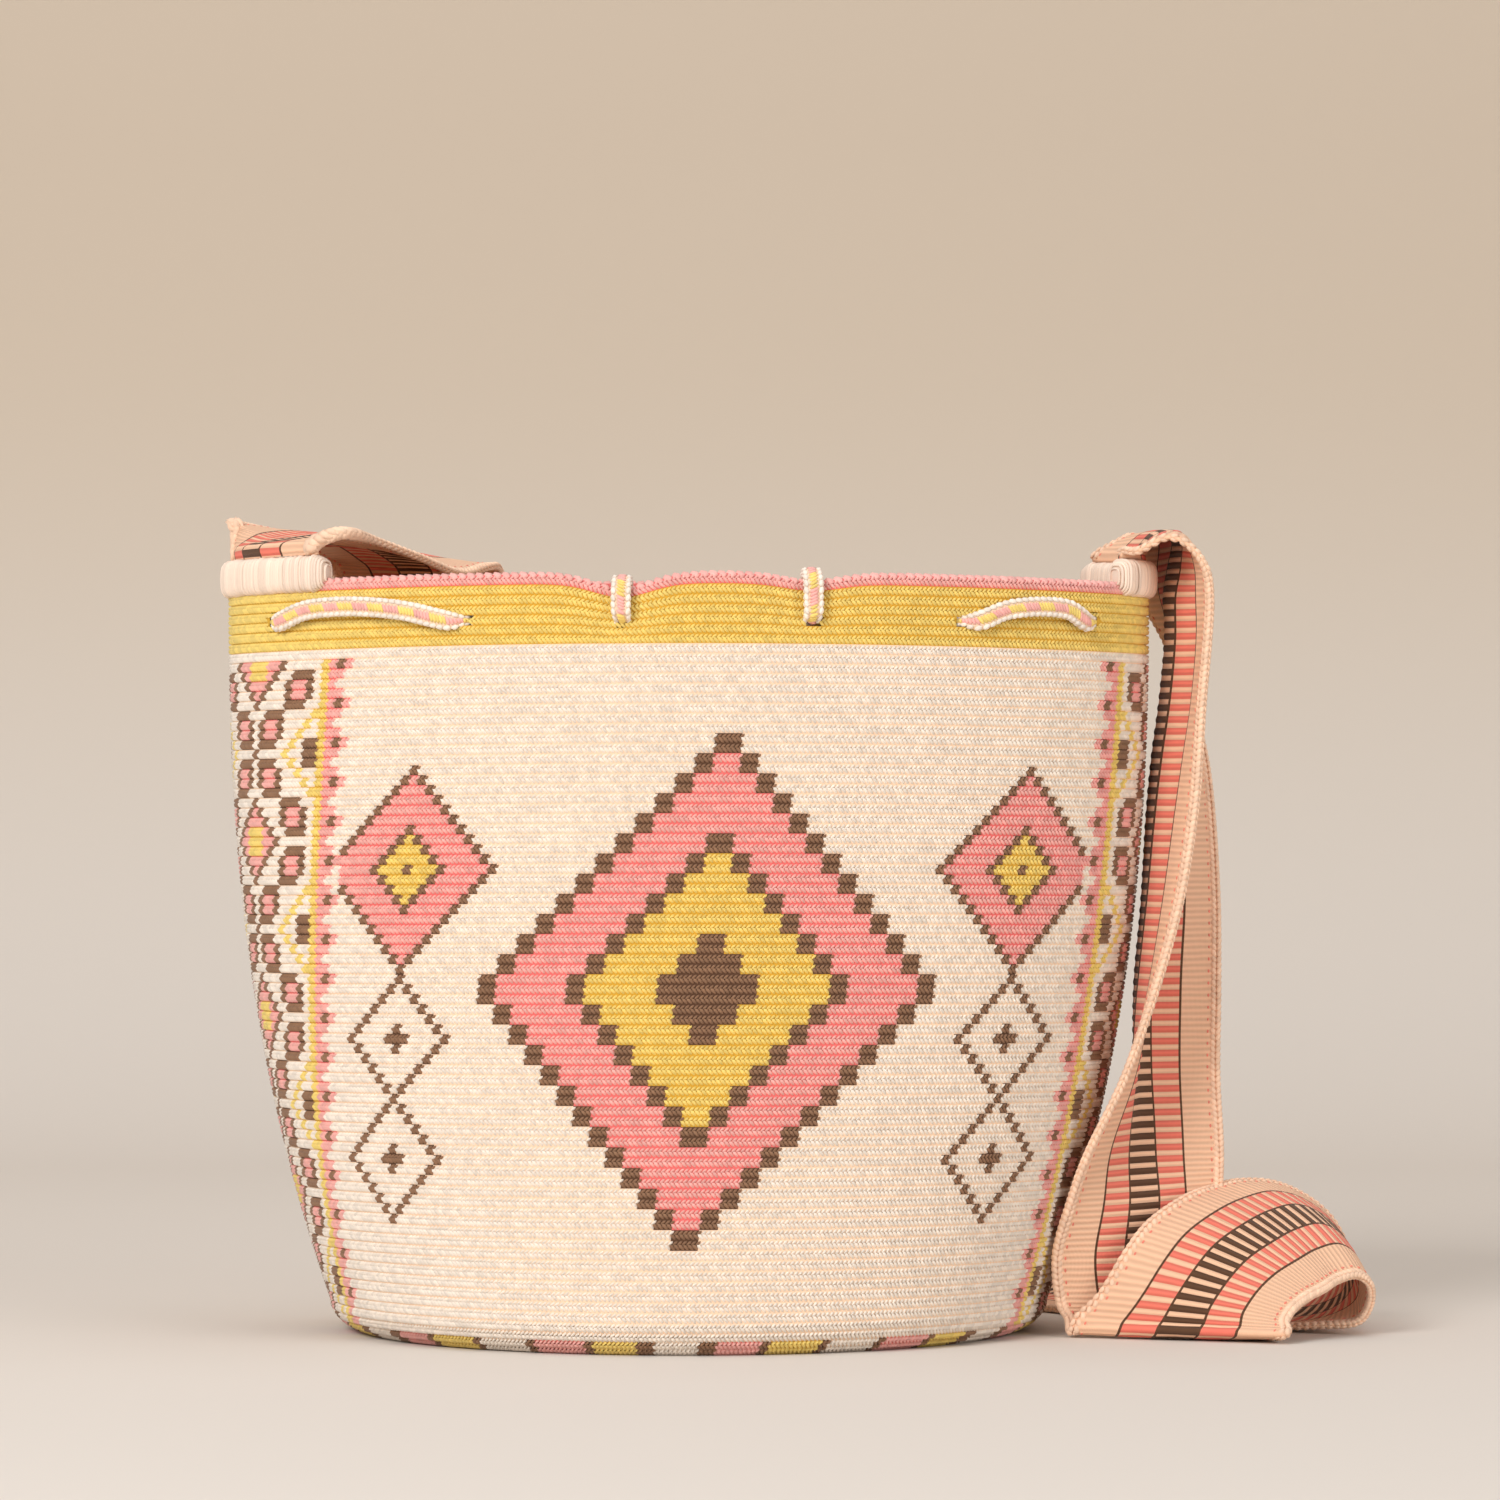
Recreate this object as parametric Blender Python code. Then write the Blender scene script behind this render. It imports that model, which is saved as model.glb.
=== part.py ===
"""Crocheted shoulder bag with an oval mouth.

The bag body is worked in the round over a flat round base. A woven strap is whipped to both ends
of the rim and lies in loose folds at the bag's right side and behind it. A braided drawstring runs
through eyelets in the band below the rim, and its ends hang inside, each with a knot and a tassel.

Frame: metres, +Z up, the floor at Z 0, the bag's axis on Z, its front towards -Y, its right
side towards +X.
"""

import math
from bisect import bisect

import bmesh
import bpy
from mathutils import Vector

CLEARANCE = 0.0003

# Bag body
GIRTH = 0.835
RIM_HEIGHT = 0.288
MOUTH_HALF_WIDTH = 0.1765
WALL = 0.0032
BASE_THICKNESS = 0.0032
FOOT_RADIUS = 0.120
FOOT_ROUNDING = 0.012
# How soon the wall widens from the round foot to the oval mouth
WIDENING = 2.5
RIM_SIDE_DROP = 0.0036
ROW_PITCH = 0.00375
ROWS_IN_RIB = 3
RIB_DEPTH = 0.0009
BODY_SEGMENTS = 48
LINING_RINGS = 7

# Drawstring band
BAND_ROWS = 7
EYELET_DROP = 0.0175
EYELET_WIDTH = 0.0135
EYELET_HEIGHT = 0.0096
EYELET_SIDES = 8
EYELET_CUT_MARGIN = 0.004
TAIL_ANGLES = (262.0, 285.5)
# Where the drawstring comes out of the wall and goes in again, leftwards round the bag
OUTSIDE_RUNS = ((241.5, 206.5), (151.0, 126.0), (102.0, 78.0), (54.0, 29.0), (-29.0, -54.0))
EYELET_ANGLES = (*TAIL_ANGLES, *(angle % 360 for run in OUTSIDE_RUNS for angle in run))
TAIL_DIPS = (0.006, 0.003)
TAIL_DENT = 0.004
DIP_SPREAD = 5.0

# Colour fields of the wall, in shares of a turn and in crochet rows
PANEL_ANGLES = (192.6, 353.6)
PANEL_HALF_SHARE = 0.055
# The stitches lean, so each field lies this share of a turn further round at the rim than at the foot
FIELD_LEAN = 0.026
PANEL_PERIOD_ROWS = 18
# Shares of the panel's half width where its rose border and its mustard line begin, and of its
# diamonds' reach and of their mustard core
PANEL_SHARES = {"border": 0.86, "line": 0.66, "diamond": 0.5, "core": 0.45}
PANEL_MARK_ROWS = 2.5
FRONT_ANGLE = 271.8
BACK_ANGLE = 91.8
# Front and back: middle row, half share of a turn, half height in rows and mustard core
LARGE_DIAMOND = (34, 0.105, 24, 0.42)
SMALL_DIAMOND = (22, 0.036, 11, 0.4)
SMALL_DIAMOND_SHARE = 0.145
STEM_HALF_SHARE = 0.008
STEM_ROWS = (33, 56)

# Shoulder strap
STRAP_WIDTH = 0.070
STRAP_THICKNESS = 0.0028
STRAP_STEPS = 2
# Shares of the width where one woven stripe ends and the next begins, and the stripes' colours
STRIPE_EDGES = (0.0, 0.235, 0.405, 0.595, 0.765, 1.0)
STRIPES = ("peach", "coral", "brown", "coral", "peach")
# The strap's stations are given in millimetres, for a strap this wide and a rim this high
STATION_STRAP = 70
STATION_RIM = 288
STATION_UNIT = STRAP_WIDTH / STATION_STRAP
SECTION_STEPS = 24
RIGHT_END_ANGLE = 4.0
LEFT_END_ANGLE = 199.0

# Strap stitching
STITCH_RISE = 0.0095
STITCH_DROP = 0.0035
STITCH_DEPTH = 0.0030
STITCH_MARGIN = 0.004
STITCH_STATIONS = 13
# Room for the flats between the wall's segments
SEAT_GAP = 0.0007

# Drawstring
STRING_WIDTH = 0.0080
STRING_THICKNESS = 0.0030
STRING_SLACK_RISE = 0.0055
STRING_SIDES = 6
EYELET_SQUEEZE = 0.62
# Half the length along the wall that the cord takes to pass through it
CROSSING = 0.0058
# The unit in which the bends of the cord's tails are given
BEND_UNIT = STRING_THICKNESS / 3
TAIL_LENGTH = 0.105
KNOT_RADIUS = 0.0075
TASSEL_LENGTH = 0.034
TASSEL_RADIUS = 0.0078
TASSEL_SIDES = 12

CREAM = (0.93, 0.72, 0.56)
MUSTARD = (0.76, 0.53, 0.13)
ROSE = (0.83, 0.30, 0.30)
BROWN = (0.17, 0.10, 0.06)
PEACH = (0.92, 0.55, 0.38)
CORAL = (0.88, 0.28, 0.20)


def clear_scene():
    for obj in list(bpy.data.objects):
        bpy.data.objects.remove(obj, do_unlink=True)


def make_material(name, colour, roughness=0.85):
    material = bpy.data.materials.new(name)
    material.use_nodes = True
    shader = material.node_tree.nodes["Principled BSDF"]
    shader.inputs["Base Color"].default_value = (*colour, 1.0)
    shader.inputs["Roughness"].default_value = roughness
    shader.inputs["Metallic"].default_value = 0.0
    return material


# The bag's outline


def gauss(angle, centre, spread):
    apart = (angle - centre + 180.0) % 360.0 - 180.0
    return math.exp(-((apart / spread) ** 2))


def half_width(z):
    """Half width of the wall at height z, widening from the round foot to the mouth."""
    round_radius = GIRTH / (2 * math.pi)
    share = min(max(z / RIM_HEIGHT, 0.0), 1.0)
    return round_radius + (MOUTH_HALF_WIDTH - round_radius) * (1 - (1 - share) ** WIDENING)


def half_depth(z):
    """Half depth at height z of the ellipse whose length round is GIRTH."""
    a = half_width(z)
    low, high = 0.0, a
    for _ in range(30):
        b = (low + high) / 2
        turn = math.pi * (3 * (a + b) - math.sqrt((3 * a + b) * (a + 3 * b)))
        if turn < GIRTH:
            low = b
        else:
            high = b
    return (low + high) / 2


def rim_height(angle):
    """Height of the rim, which sags a little at both ends and dips under the drawstring's tails."""
    side = RIM_SIDE_DROP * (1 + math.cos(2 * math.radians(angle))) / 2
    dips = sum(d * gauss(angle, c, DIP_SPREAD) for d, c in zip(TAIL_DIPS, TAIL_ANGLES))
    return RIM_HEIGHT - side - dips


def dent(angle, z):
    """How far the tails pull the wall in, from the band's lower edge up to the rim."""
    band = BAND_ROWS * ROW_PITCH
    rise = min(max((z - (RIM_HEIGHT - 2 * band)) / (2 * band), 0.0), 1.0)
    pull = sum(gauss(angle, centre, DIP_SPREAD) for centre in TAIL_ANGLES)
    return TAIL_DENT * pull * rise * rise


def outward(angle, z):
    """The wall's outward direction at this angle and height, level with the floor."""
    turn = math.radians(angle)
    return Vector((math.cos(turn) / half_width(z), math.sin(turn) / half_depth(z), 0)).normalized()


def along(angle, z):
    normal = outward(angle, z)
    return Vector((-normal.y, normal.x, 0))


def wall(angle, z, stand_off=0.0):
    """A point off the wall's outer face, stand_off outwards or, below 0, inwards."""
    turn = math.radians(angle)
    a, b = half_width(z), half_depth(z)
    place = Vector((a * math.cos(turn), b * math.sin(turn), z))
    return place + outward(angle, z) * (stand_off - dent(angle, z))


def arc_angles(centre, length, z, count):
    """Angles of count points spread evenly over a length of the wall around a centre angle."""
    fine = [centre - 60 + 0.5 * k for k in range(241)]
    points = [wall(t, z) for t in fine]
    runs = [0.0]
    for one, two in zip(points, points[1:]):
        runs.append(runs[-1] + (two - one).length)
    middle = runs[120]
    angles = []
    for k in range(count):
        want = middle + length * (k / (count - 1) - 0.5)
        i = min(max(bisect(runs, want), 1), 240)
        share = (want - runs[i - 1]) / (runs[i] - runs[i - 1])
        angles.append(fine[i - 1] + share * (fine[i] - fine[i - 1]))
    return angles


# Mesh helpers


def add_object(name, bm, materials, sharp_degrees=60):
    bmesh.ops.recalc_face_normals(bm, faces=bm.faces)
    mesh = bpy.data.meshes.new(name)
    bm.to_mesh(mesh)
    bm.free()
    for material in materials:
        mesh.materials.append(material)
    mesh.shade_smooth()
    mesh.set_sharp_from_angle(angle=math.radians(sharp_degrees))
    obj = bpy.data.objects.new(name, mesh)
    bpy.context.collection.objects.link(obj)
    return obj


def add_rings(bm, rings):
    """Bridge closed rings of points with quads and return the vertices and the faces by row."""
    verts = [[bm.verts.new(p) for p in ring] for ring in rings]
    rows = []
    for low, high in zip(verts, verts[1:]):
        row = []
        for i in range(len(low)):
            j = (i + 1) % len(low)
            row.append(bm.faces.new((low[i], low[j], high[j], high[i])))
        rows.append(row)
    return verts, rows


def smooth_path(points, steps):
    """A Catmull-Rom curve through the points, with steps spans between each pair."""
    padded = [points[0] * 2 - points[1], *points, points[-1] * 2 - points[-2]]
    path = []
    for a, b, c, d in zip(padded, padded[1:], padded[2:], padded[3:]):
        for k in range(steps):
            t = k / steps
            path.append(
                (b * 2 + (c - a) * t + (a * 2 - b * 5 + c * 4 - d) * t**2 + (b * 3 - a - c * 3 + d) * t**3)
                / 2
            )
    return [*path, points[-1].copy()]


# Bag body


def turn_share(angle, centre):
    """Signed share of the girth from a centre angle, near enough for fields of colour."""
    z = RIM_HEIGHT / 2
    a, b = half_width(z), half_depth(z)
    apart = (angle - centre + 180) % 360 - 180
    steps = 12
    length = 0.0
    for k in range(steps):
        t = math.radians(centre + apart * (k + 0.5) / steps)
        length += math.hypot(a * math.sin(t), b * math.cos(t)) * abs(math.radians(apart)) / steps
    return math.copysign(length / GIRTH, apart)


def diamond(across, up, half_across, half_up):
    """Below 1 inside a diamond of these half sizes."""
    return abs(across) / half_across + abs(up) / half_up


def panel_colour(across, row):
    """Side panel: a rose border, a mustard line, then diamonds on a zigzag of squares."""
    out = abs(across)
    if out > PANEL_HALF_SHARE * PANEL_SHARES["border"]:
        return "rose"
    if out > PANEL_HALF_SHARE * PANEL_SHARES["line"]:
        return "mustard"
    half = PANEL_PERIOD_ROWS / 2
    reach = PANEL_HALF_SHARE * PANEL_SHARES["diamond"]
    middle = diamond(across, (row + half) % PANEL_PERIOD_ROWS - half, reach, half * 0.7)
    if middle < PANEL_SHARES["core"]:
        return "mustard"
    if middle < 1.0:
        return "rose"
    return "brown" if row % half < PANEL_MARK_ROWS and out < reach else "cream"


def field_colour(across, row):
    """Front and back: one large stepped diamond between two small ones over brown stems."""
    side = abs(across) - SMALL_DIAMOND_SHARE
    for place, shape in ((across, LARGE_DIAMOND), (side, SMALL_DIAMOND)):
        middle_row, half_share, half_rows, core = shape
        reach = diamond(place, row - middle_row, half_share, half_rows)
        if reach < core:
            return "mustard"
        if reach < 1.0:
            return "rose"
    first, last = STEM_ROWS
    return "brown" if abs(side) < STEM_HALF_SHARE and first < row < last else "cream"


def wall_colour(angle, z):
    row = (RIM_HEIGHT - z) / ROW_PITCH
    if row < 1:
        return "rose"
    if row < BAND_ROWS + 1:
        return "mustard"
    row -= BAND_ROWS + 1
    lean = FIELD_LEAN * (z / RIM_HEIGHT - 0.5)
    for centre in PANEL_ANGLES:
        across = turn_share(angle, centre) - lean
        if abs(across) < PANEL_HALF_SHARE and row > 1:
            return panel_colour(across, row)
    centre = FRONT_ANGLE if math.sin(math.radians(angle)) < 0 else BACK_ANGLE
    return field_colour(turn_share(angle, centre) - lean, row)


def wall_ring(share, stand_off):
    """A ring at a share of the height, from the foot's top at 0 to the rim at 1."""
    ring = []
    for k in range(BODY_SEGMENTS):
        angle = 360.0 * k / BODY_SEGMENTS
        z = FOOT_ROUNDING + (rim_height(angle) - FOOT_ROUNDING) * share
        ring.append(wall(angle, z, stand_off))
    return ring


def foot_ring(turn, inset, lift):
    """A ring on the rounding between the base and the wall, at a quarter turn's share."""
    ring = []
    rise = (FOOT_ROUNDING - lift) * (1 - math.cos(turn * math.pi / 2)) + lift
    for k in range(BODY_SEGMENTS):
        angle = math.radians(360.0 * k / BODY_SEGMENTS)
        reach = math.sin(turn * math.pi / 2)
        a = FOOT_RADIUS + (half_width(FOOT_ROUNDING) - FOOT_RADIUS) * reach - inset
        b = FOOT_RADIUS + (half_depth(FOOT_ROUNDING) - FOOT_RADIUS) * reach - inset
        ring.append(Vector((a * math.cos(angle), b * math.sin(angle), rise)))
    return ring


def body_rings():
    """Rings up the outer face, over the rim and down the inner face to the base."""
    outer = [foot_ring(turn, 0.0, 0.0) for turn in (0.0, 0.35, 0.7)]
    ribs = round((RIM_HEIGHT - FOOT_ROUNDING) / (ROW_PITCH * ROWS_IN_RIB))
    for k in range(2 * ribs):
        outer.append(wall_ring(k / (2 * ribs), -RIB_DEPTH * (k % 2)))
    rim = [
        [p - Vector((0, 0, RIB_DEPTH)) for p in wall_ring(1.0, 0.0)],
        wall_ring(1.0, -WALL / 2),
        [p - Vector((0, 0, RIB_DEPTH)) for p in wall_ring(1.0, -WALL)],
    ]
    shares = [1 - (k + 1) / (LINING_RINGS + 1) for k in range(LINING_RINGS + 1)]
    inner = [wall_ring(share, -WALL) for share in shares]
    floor = [foot_ring(turn, WALL, BASE_THICKNESS) for turn in (0.5, 0.0)]
    return [*outer, *rim, *inner, *floor], len(outer)


def eyelet_cutter(angle):
    """An oval prism through the wall at one eyelet."""
    z = RIM_HEIGHT - EYELET_DROP
    side, out = along(angle, z), outward(angle, z)
    rings = []
    for stand_off in (EYELET_CUT_MARGIN, -WALL - EYELET_CUT_MARGIN):
        centre = wall(angle, z, stand_off)
        ring = []
        for k in range(EYELET_SIDES):
            turn = 2 * math.pi * (k + 0.5) / EYELET_SIDES
            across = side * math.cos(turn) * EYELET_WIDTH / 2
            ring.append(centre + across + Vector((0, 0, math.sin(turn) * EYELET_HEIGHT / 2)))
        rings.append(ring)
    bm = bmesh.new()
    verts, _ = add_rings(bm, rings)
    bm.faces.new(verts[0])
    bm.faces.new(verts[1])
    cutter = add_object(f"cutter_eyelet_{round(angle)}", bm, [])
    cutter.hide_render = True
    cutter.display_type = "WIRE"
    return cutter


def build_body(yarns):
    rings, outer_count = body_rings()
    bm = bmesh.new()
    verts, rows = add_rings(bm, rings)
    bm.faces.new(reversed(verts[0]))
    bm.faces.new(verts[-1])
    names = list(yarns)
    for number, row in enumerate(rows):
        for face in row:
            middle = face.calc_center_median()
            if number > outer_count + 2:
                middle.z = min(middle.z, RIM_HEIGHT - ROW_PITCH)
            angle = math.degrees(math.atan2(middle.y / half_depth(middle.z), middle.x / half_width(middle.z)))
            face.material_index = names.index(wall_colour(angle % 360, middle.z))
    body = add_object("crocheted_bag", bm, list(yarns.values()), sharp_degrees=80)
    for angle in EYELET_ANGLES:
        cut = body.modifiers.new(f"eyelet {round(angle)}", "BOOLEAN")
        cut.operation = "DIFFERENCE"
        cut.solver = "EXACT"
        cut.object = eyelet_cutter(angle)
    return body


# Strap stitching


def build_stitching(name, centre, material):
    """Whipped yarn over the rim: a band with a leg down each face of the wall."""
    length = STRAP_WIDTH + 2 * STITCH_MARGIN
    outer = SEAT_GAP + STITCH_DEPTH
    bevel = STITCH_DEPTH * 0.4
    rings = []
    for angle in arc_angles(centre, length, RIM_HEIGHT, STITCH_STATIONS):
        top = rim_height(angle)
        outline = (
            (outer - bevel, -STITCH_DROP),
            (outer, bevel - STITCH_DROP),
            (outer, STITCH_RISE - bevel),
            (outer - bevel, STITCH_RISE),
            (bevel - WALL - outer, STITCH_RISE),
            (-WALL - outer, STITCH_RISE - bevel),
            (-WALL - outer, bevel - STITCH_DROP),
            (bevel - WALL - outer, -STITCH_DROP),
            (-WALL - SEAT_GAP, -STITCH_DROP),
            (-WALL - SEAT_GAP, CLEARANCE),
            (SEAT_GAP, CLEARANCE),
            (SEAT_GAP, -STITCH_DROP),
        )
        ring = []
        for across, up in outline:
            ring.append(wall(angle, top, across) + Vector((0, 0, up)))
        rings.append(ring)
    bm = bmesh.new()
    verts, _ = add_rings(bm, rings)
    bm.faces.new(verts[0])
    bm.faces.new(verts[-1])
    return add_object(name, bm, [material], sharp_degrees=50)


# Shoulder strap
#
# Each station gives the middle of the strap's width, and the directions from there to its two
# edges. Edge 1 faces the viewer where the strap hangs at the right. A stretch
# over 1 is a crossing that runs slantwise, as beside the diagonal fold on the floor.
# A curl moves the lines halfway between the middle and each edge, which bows both halves.


def beside(out, y, z, edge_1, edge_2, stretch=1.0, curl=(0, 0, 0)):
    """A station off the wall's right end."""
    height = z / STATION_RIM * RIM_HEIGHT
    middle = Vector((half_width(height) + out * STATION_UNIT, y * STATION_UNIT, height))
    return middle, Vector(edge_1), Vector(edge_2), stretch, Vector(curl) * STATION_UNIT


def behind(share, gap, z, edge_1, edge_2):
    """A station off the wall's back, at a share of its half width."""
    height = z / STATION_RIM * RIM_HEIGHT
    back = half_depth(height) * math.sqrt(1 - share * share)
    middle = Vector((share * half_width(height), back + gap * STATION_UNIT, height))
    return middle, Vector(edge_1), Vector(edge_2), 1.0, Vector()


def over_mouth(inward, y, rise, edge_1, edge_2):
    """A station above the mouth, measured inwards from the wall's left end."""
    height = RIM_HEIGHT + rise * STATION_UNIT
    middle = Vector((inward * STATION_UNIT - MOUTH_HALF_WIDTH, y * STATION_UNIT, height))
    return middle, Vector(edge_1), Vector(edge_2), 1.0, Vector()


def sewn_end(centre, rise):
    """A station along the rim's curve, at a rise above the stitching."""
    first, middle, last = arc_angles(centre, STRAP_WIDTH, RIM_HEIGHT, 3)
    places = []
    for angle in (first, middle, last):
        foot = wall(angle, rim_height(angle), -WALL / 2)
        places.append(foot + Vector((0, 0, STITCH_RISE + SEAT_GAP + rise * STATION_UNIT)))
    return places[1], places[0] - places[1], places[2] - places[1], None, Vector()


def strap_stations():
    down_the_side = [
        beside(2.5, 2, 304, (-9, -36, -7), (-14, 38, -1)),
        beside(9.5, 1, 305.5, (-5, -37, -3), (-18, 40, -1)),
        beside(12.5, 0.5, 301.5, (1, -36, -2), (-17, 38, -2)),
        beside(10.5, 0.5, 292, (10, -34, -1), (-14, 36, -2), 1, (2, 0, 0)),
        beside(7.5, 0.5, 280, (15, -31.5, 0), (-7, 34, 0), 1, (4.6, 0.5, 0)),
        beside(7.5, 0.5, 264, (14.2, -31.5, 0), (2, 35, 0), 1, (6.1, 1, 0)),
        beside(5.6, -0.5, 240, (14.5, -31.5, 0), (14, 32, 0), 1, (7.5, 1, 0)),
        beside(3.5, -1.5, 220, (16.3, -31, 0), (22, 27, 0), 1, (7.5, 0.5, 0)),
        beside(2.5, -4, 197, (16.5, -31, 0), (26.5, 22, 0), 1, (6.5, 0, 0)),
        beside(3.2, -7, 164, (12.5, -32, 0), (30.5, 17, 0), 1, (5.8, -1, 0)),
        beside(4.6, -10, 130, (5.6, -34.5, 0), (33.2, 11, 0), 1, (6.2, -1, 0)),
        beside(10.4, -13, 97, (-6.8, -34.3, 0), (32.7, 12, 0), 1, (5, 0, 0)),
        beside(17.5, -20, 69.5, (-21.7, -27.5, 0), (32.9, 12, 0), 1, (1, 0, 0)),
        beside(23.7, -27, 50, (-30, -18, 0), (31, 16, 2)),
        beside(28, -33, 31, (-33, -9, 0), (33, 17, 2)),
        beside(36, -37, 13.5, (-34.5, -5, 0), (34, 13, 1.5)),
    ]
    fold_on_the_floor = [
        beside(43, -44, 4, (-36, 2, 3), (36, 4, -1)),
        beside(48, -55, 1.7, (-38.5, 10, 1), (40, -6, 0), 1.14),
        beside(50, -61.5, 3.6, (-40, 14, 0), (40.6, -15.3, 0), 1.22),
        beside(51, -60, 6.2, (-40, 13, 2), (40, -15, -1), 1.21),
        beside(52, -60, 14, (-33, 11.4, 3), (37, -10, -6.5), 1.06),
        beside(55.5, -57, 24, (-28.7, 9.6, 8), (33, -9, -12)),
    ]
    loop = [
        beside(61, -51, 32.5, (-30, 11, 10.5), (29.3, -9, -16.5)),
        beside(70, -42, 39, (-26.4, 16, 12), (23.8, -14, -20)),
        beside(79, -31, 43, (-24, 19, 11), (19.4, -19, -22)),
        beside(88, -24, 44.5, (-23, 20, 11), (18, -21, -22.5)),
        beside(98, -17, 40.5, (-19.5, 23, 14), (15, -24, -23.5)),
        beside(108, -9, 32, (-15, 27, 18), (7.5, -29.5, -24)),
        beside(115, -4, 21, (-7, 29, 20), (-2, -33, -18)),
        beside(115, 1, 10.5, (4, 30, 16.5), (-12, -36, -8)),
        beside(107, 7, 5, (12, 28, 16), (-19, -34, -3)),
        beside(94, 16, 3, (20, 27, 9), (-23, -28, -1)),
    ]
    behind_the_bag = [
        beside(77, 36, 1.7, (27, 22, 0), (-27, -22, 0)),
        beside(51, 66, 1.7, (27, 22, 0), (-27, -22, 0)),
        beside(27, 97, 1.9, (27, 22, 0), (-27, -22, 0)),
        beside(3, 122, 7.5, (22, 20, 16), (-24, -20, -5)),
        beside(-30, 136, 20, (12, 10, 31), (-14, -12, -17)),
        behind(0.51, 34, 40, (13, -8, 31), (-8, -2, -33)),
        behind(0.27, 29, 68, (15, -10, 29), (-14, 6, -31)),
        behind(0.05, 23, 102, (18, -6, 28), (-18, 6, -28)),
        behind(-0.14, 19, 141, (22, -3, 26), (-22, 3, -26)),
        behind(-0.30, 15, 180, (26, -1, 22), (-26, -2, -22)),
        behind(-0.435, 12, 220, (30, 3, 17), (-30, -5, -17)),
        behind(-0.53, 13.5, 252, (33, 7, 11), (-32, -10, -11)),
        behind(-0.585, 13, 275, (34, 9, 5), (-33, -14, -5)),
    ]
    across_the_mouth = [
        over_mouth(68.5, 62.5, 3.6, (34, 8, 1), (-32, -14, 0)),
        over_mouth(65, 49, 9, (34, 4, -3), (-34, -4, 1)),
        over_mouth(56, 27, 13, (33, -6, -11), (-33, 6, 2.5)),
        over_mouth(43, 4, 15, (30, -15, -7), (-32, 13, 4)),
        over_mouth(30, -13, 13.5, (25, -22, 1), (-28, 17, 7.5)),
        over_mouth(21.5, -24, 12.5, (26, -25, 4), (-20, 28, 7)),
    ]
    right = [sewn_end(RIGHT_END_ANGLE, rise) for rise in (0, 3)]
    left = [sewn_end(LEFT_END_ANGLE, rise) for rise in (4, 0)]
    left = [(middle, edge_2, edge_1, *rest) for middle, edge_1, edge_2, *rest in left]
    return [
        *right,
        *down_the_side,
        *fold_on_the_floor,
        *loop,
        *behind_the_bag,
        *across_the_mouth,
        *left,
    ]


def strap_rails():
    """Smooth lines along the strap: edge 1, the middle, edge 2 and the curl beside the middle."""
    rails = [[], [], [], []]
    for middle, edge_1, edge_2, stretch, curl in strap_stations():
        if stretch is not None:
            reach = STRAP_WIDTH / 2 * stretch
            edge_1 = edge_1.normalized() * reach
            edge_2 = edge_2.normalized() * reach
        rails[0].append(middle + edge_1)
        rails[1].append(middle)
        rails[2].append(middle + edge_2)
        rails[3].append(middle + curl)
    lowest = STRAP_THICKNESS / 2 + CLEARANCE / 3
    smooth = []
    for rail in rails:
        path = smooth_path(rail, STRAP_STEPS)
        for point in path:
            point.z = max(point.z, lowest)
        smooth.append(path)
    return smooth


def strap_section(first, middle, last, curled):
    """Points at the stripes' edges, on the bowed line through an edge, the middle and an edge."""
    fine = []
    for k in range(SECTION_STEPS + 1):
        u = 2 * k / SECTION_STEPS - 1
        bowed = first * (u * (u - 1) / 2) + middle * (1 - u * u) + last * (u * (u + 1) / 2)
        bump = (4 * u * (1 - abs(u))) ** 2
        fine.append(bowed + (curled - middle) * bump)
    runs = [0.0]
    for one, two in zip(fine, fine[1:]):
        runs.append(runs[-1] + (two - one).length)
    section = []
    for edge in STRIPE_EDGES:
        want = runs[-1] * edge
        i = min(max(bisect(runs, want), 1), SECTION_STEPS)
        share = (want - runs[i - 1]) / (runs[i] - runs[i - 1])
        section.append(fine[i - 1].lerp(fine[i], share))
    return section


def build_strap(yarns):
    rails = strap_rails()
    grid = [strap_section(*points) for points in zip(*rails)]
    rows, columns = len(grid), len(grid[0])
    faces = ([], [])
    for i in range(rows):
        for j in range(columns):
            ahead = grid[min(i + 1, rows - 1)][j] - grid[max(i - 1, 0)][j]
            across = grid[i][min(j + 1, columns - 1)] - grid[i][max(j - 1, 0)]
            normal = ahead.cross(across).normalized() * STRAP_THICKNESS / 2
            faces[0].append(grid[i][j] + normal)
            faces[1].append(grid[i][j] - normal)
    rings = []
    for i in range(rows):
        one = faces[0][i * columns : (i + 1) * columns]
        two = faces[1][i * columns : (i + 1) * columns]
        rings.append([*one, *reversed(two)])
    for ring in rings:
        for point in ring:
            point.z = max(point.z, CLEARANCE / 3)
    names = list(yarns)
    stripes = [names.index(stripe) for stripe in STRIPES]
    bm = bmesh.new()
    verts, bands = add_rings(bm, rings)
    for band in bands:
        for face, stripe in zip(band, [*stripes, 0, *reversed(stripes), 0]):
            face.material_index = stripe
    for ring in (verts[0], verts[-1]):
        for j, stripe in enumerate(stripes):
            end = bm.faces.new((ring[j], ring[j + 1], ring[-2 - j], ring[-1 - j]))
            end.material_index = stripe
    return add_object("shoulder_strap", bm, list(yarns.values()), sharp_degrees=50)


# Drawstring
#
# Each point of its route is (middle of the cord, direction of its width, squeeze).

EYELET_LEVEL = RIM_HEIGHT - EYELET_DROP
OUTER_LANE = CLEARANCE + STRING_THICKNESS / 2
INNER_LANE = -WALL - SEAT_GAP - STRING_THICKNESS / 2
UPRIGHT = Vector((0, 0, 1))


def degrees_for(angle, length):
    """Degrees that a length along the wall takes up at this angle, at the eyelets' level."""
    step = 0.5
    return length * step / (wall(angle + step, EYELET_LEVEL) - wall(angle, EYELET_LEVEL)).length


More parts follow.
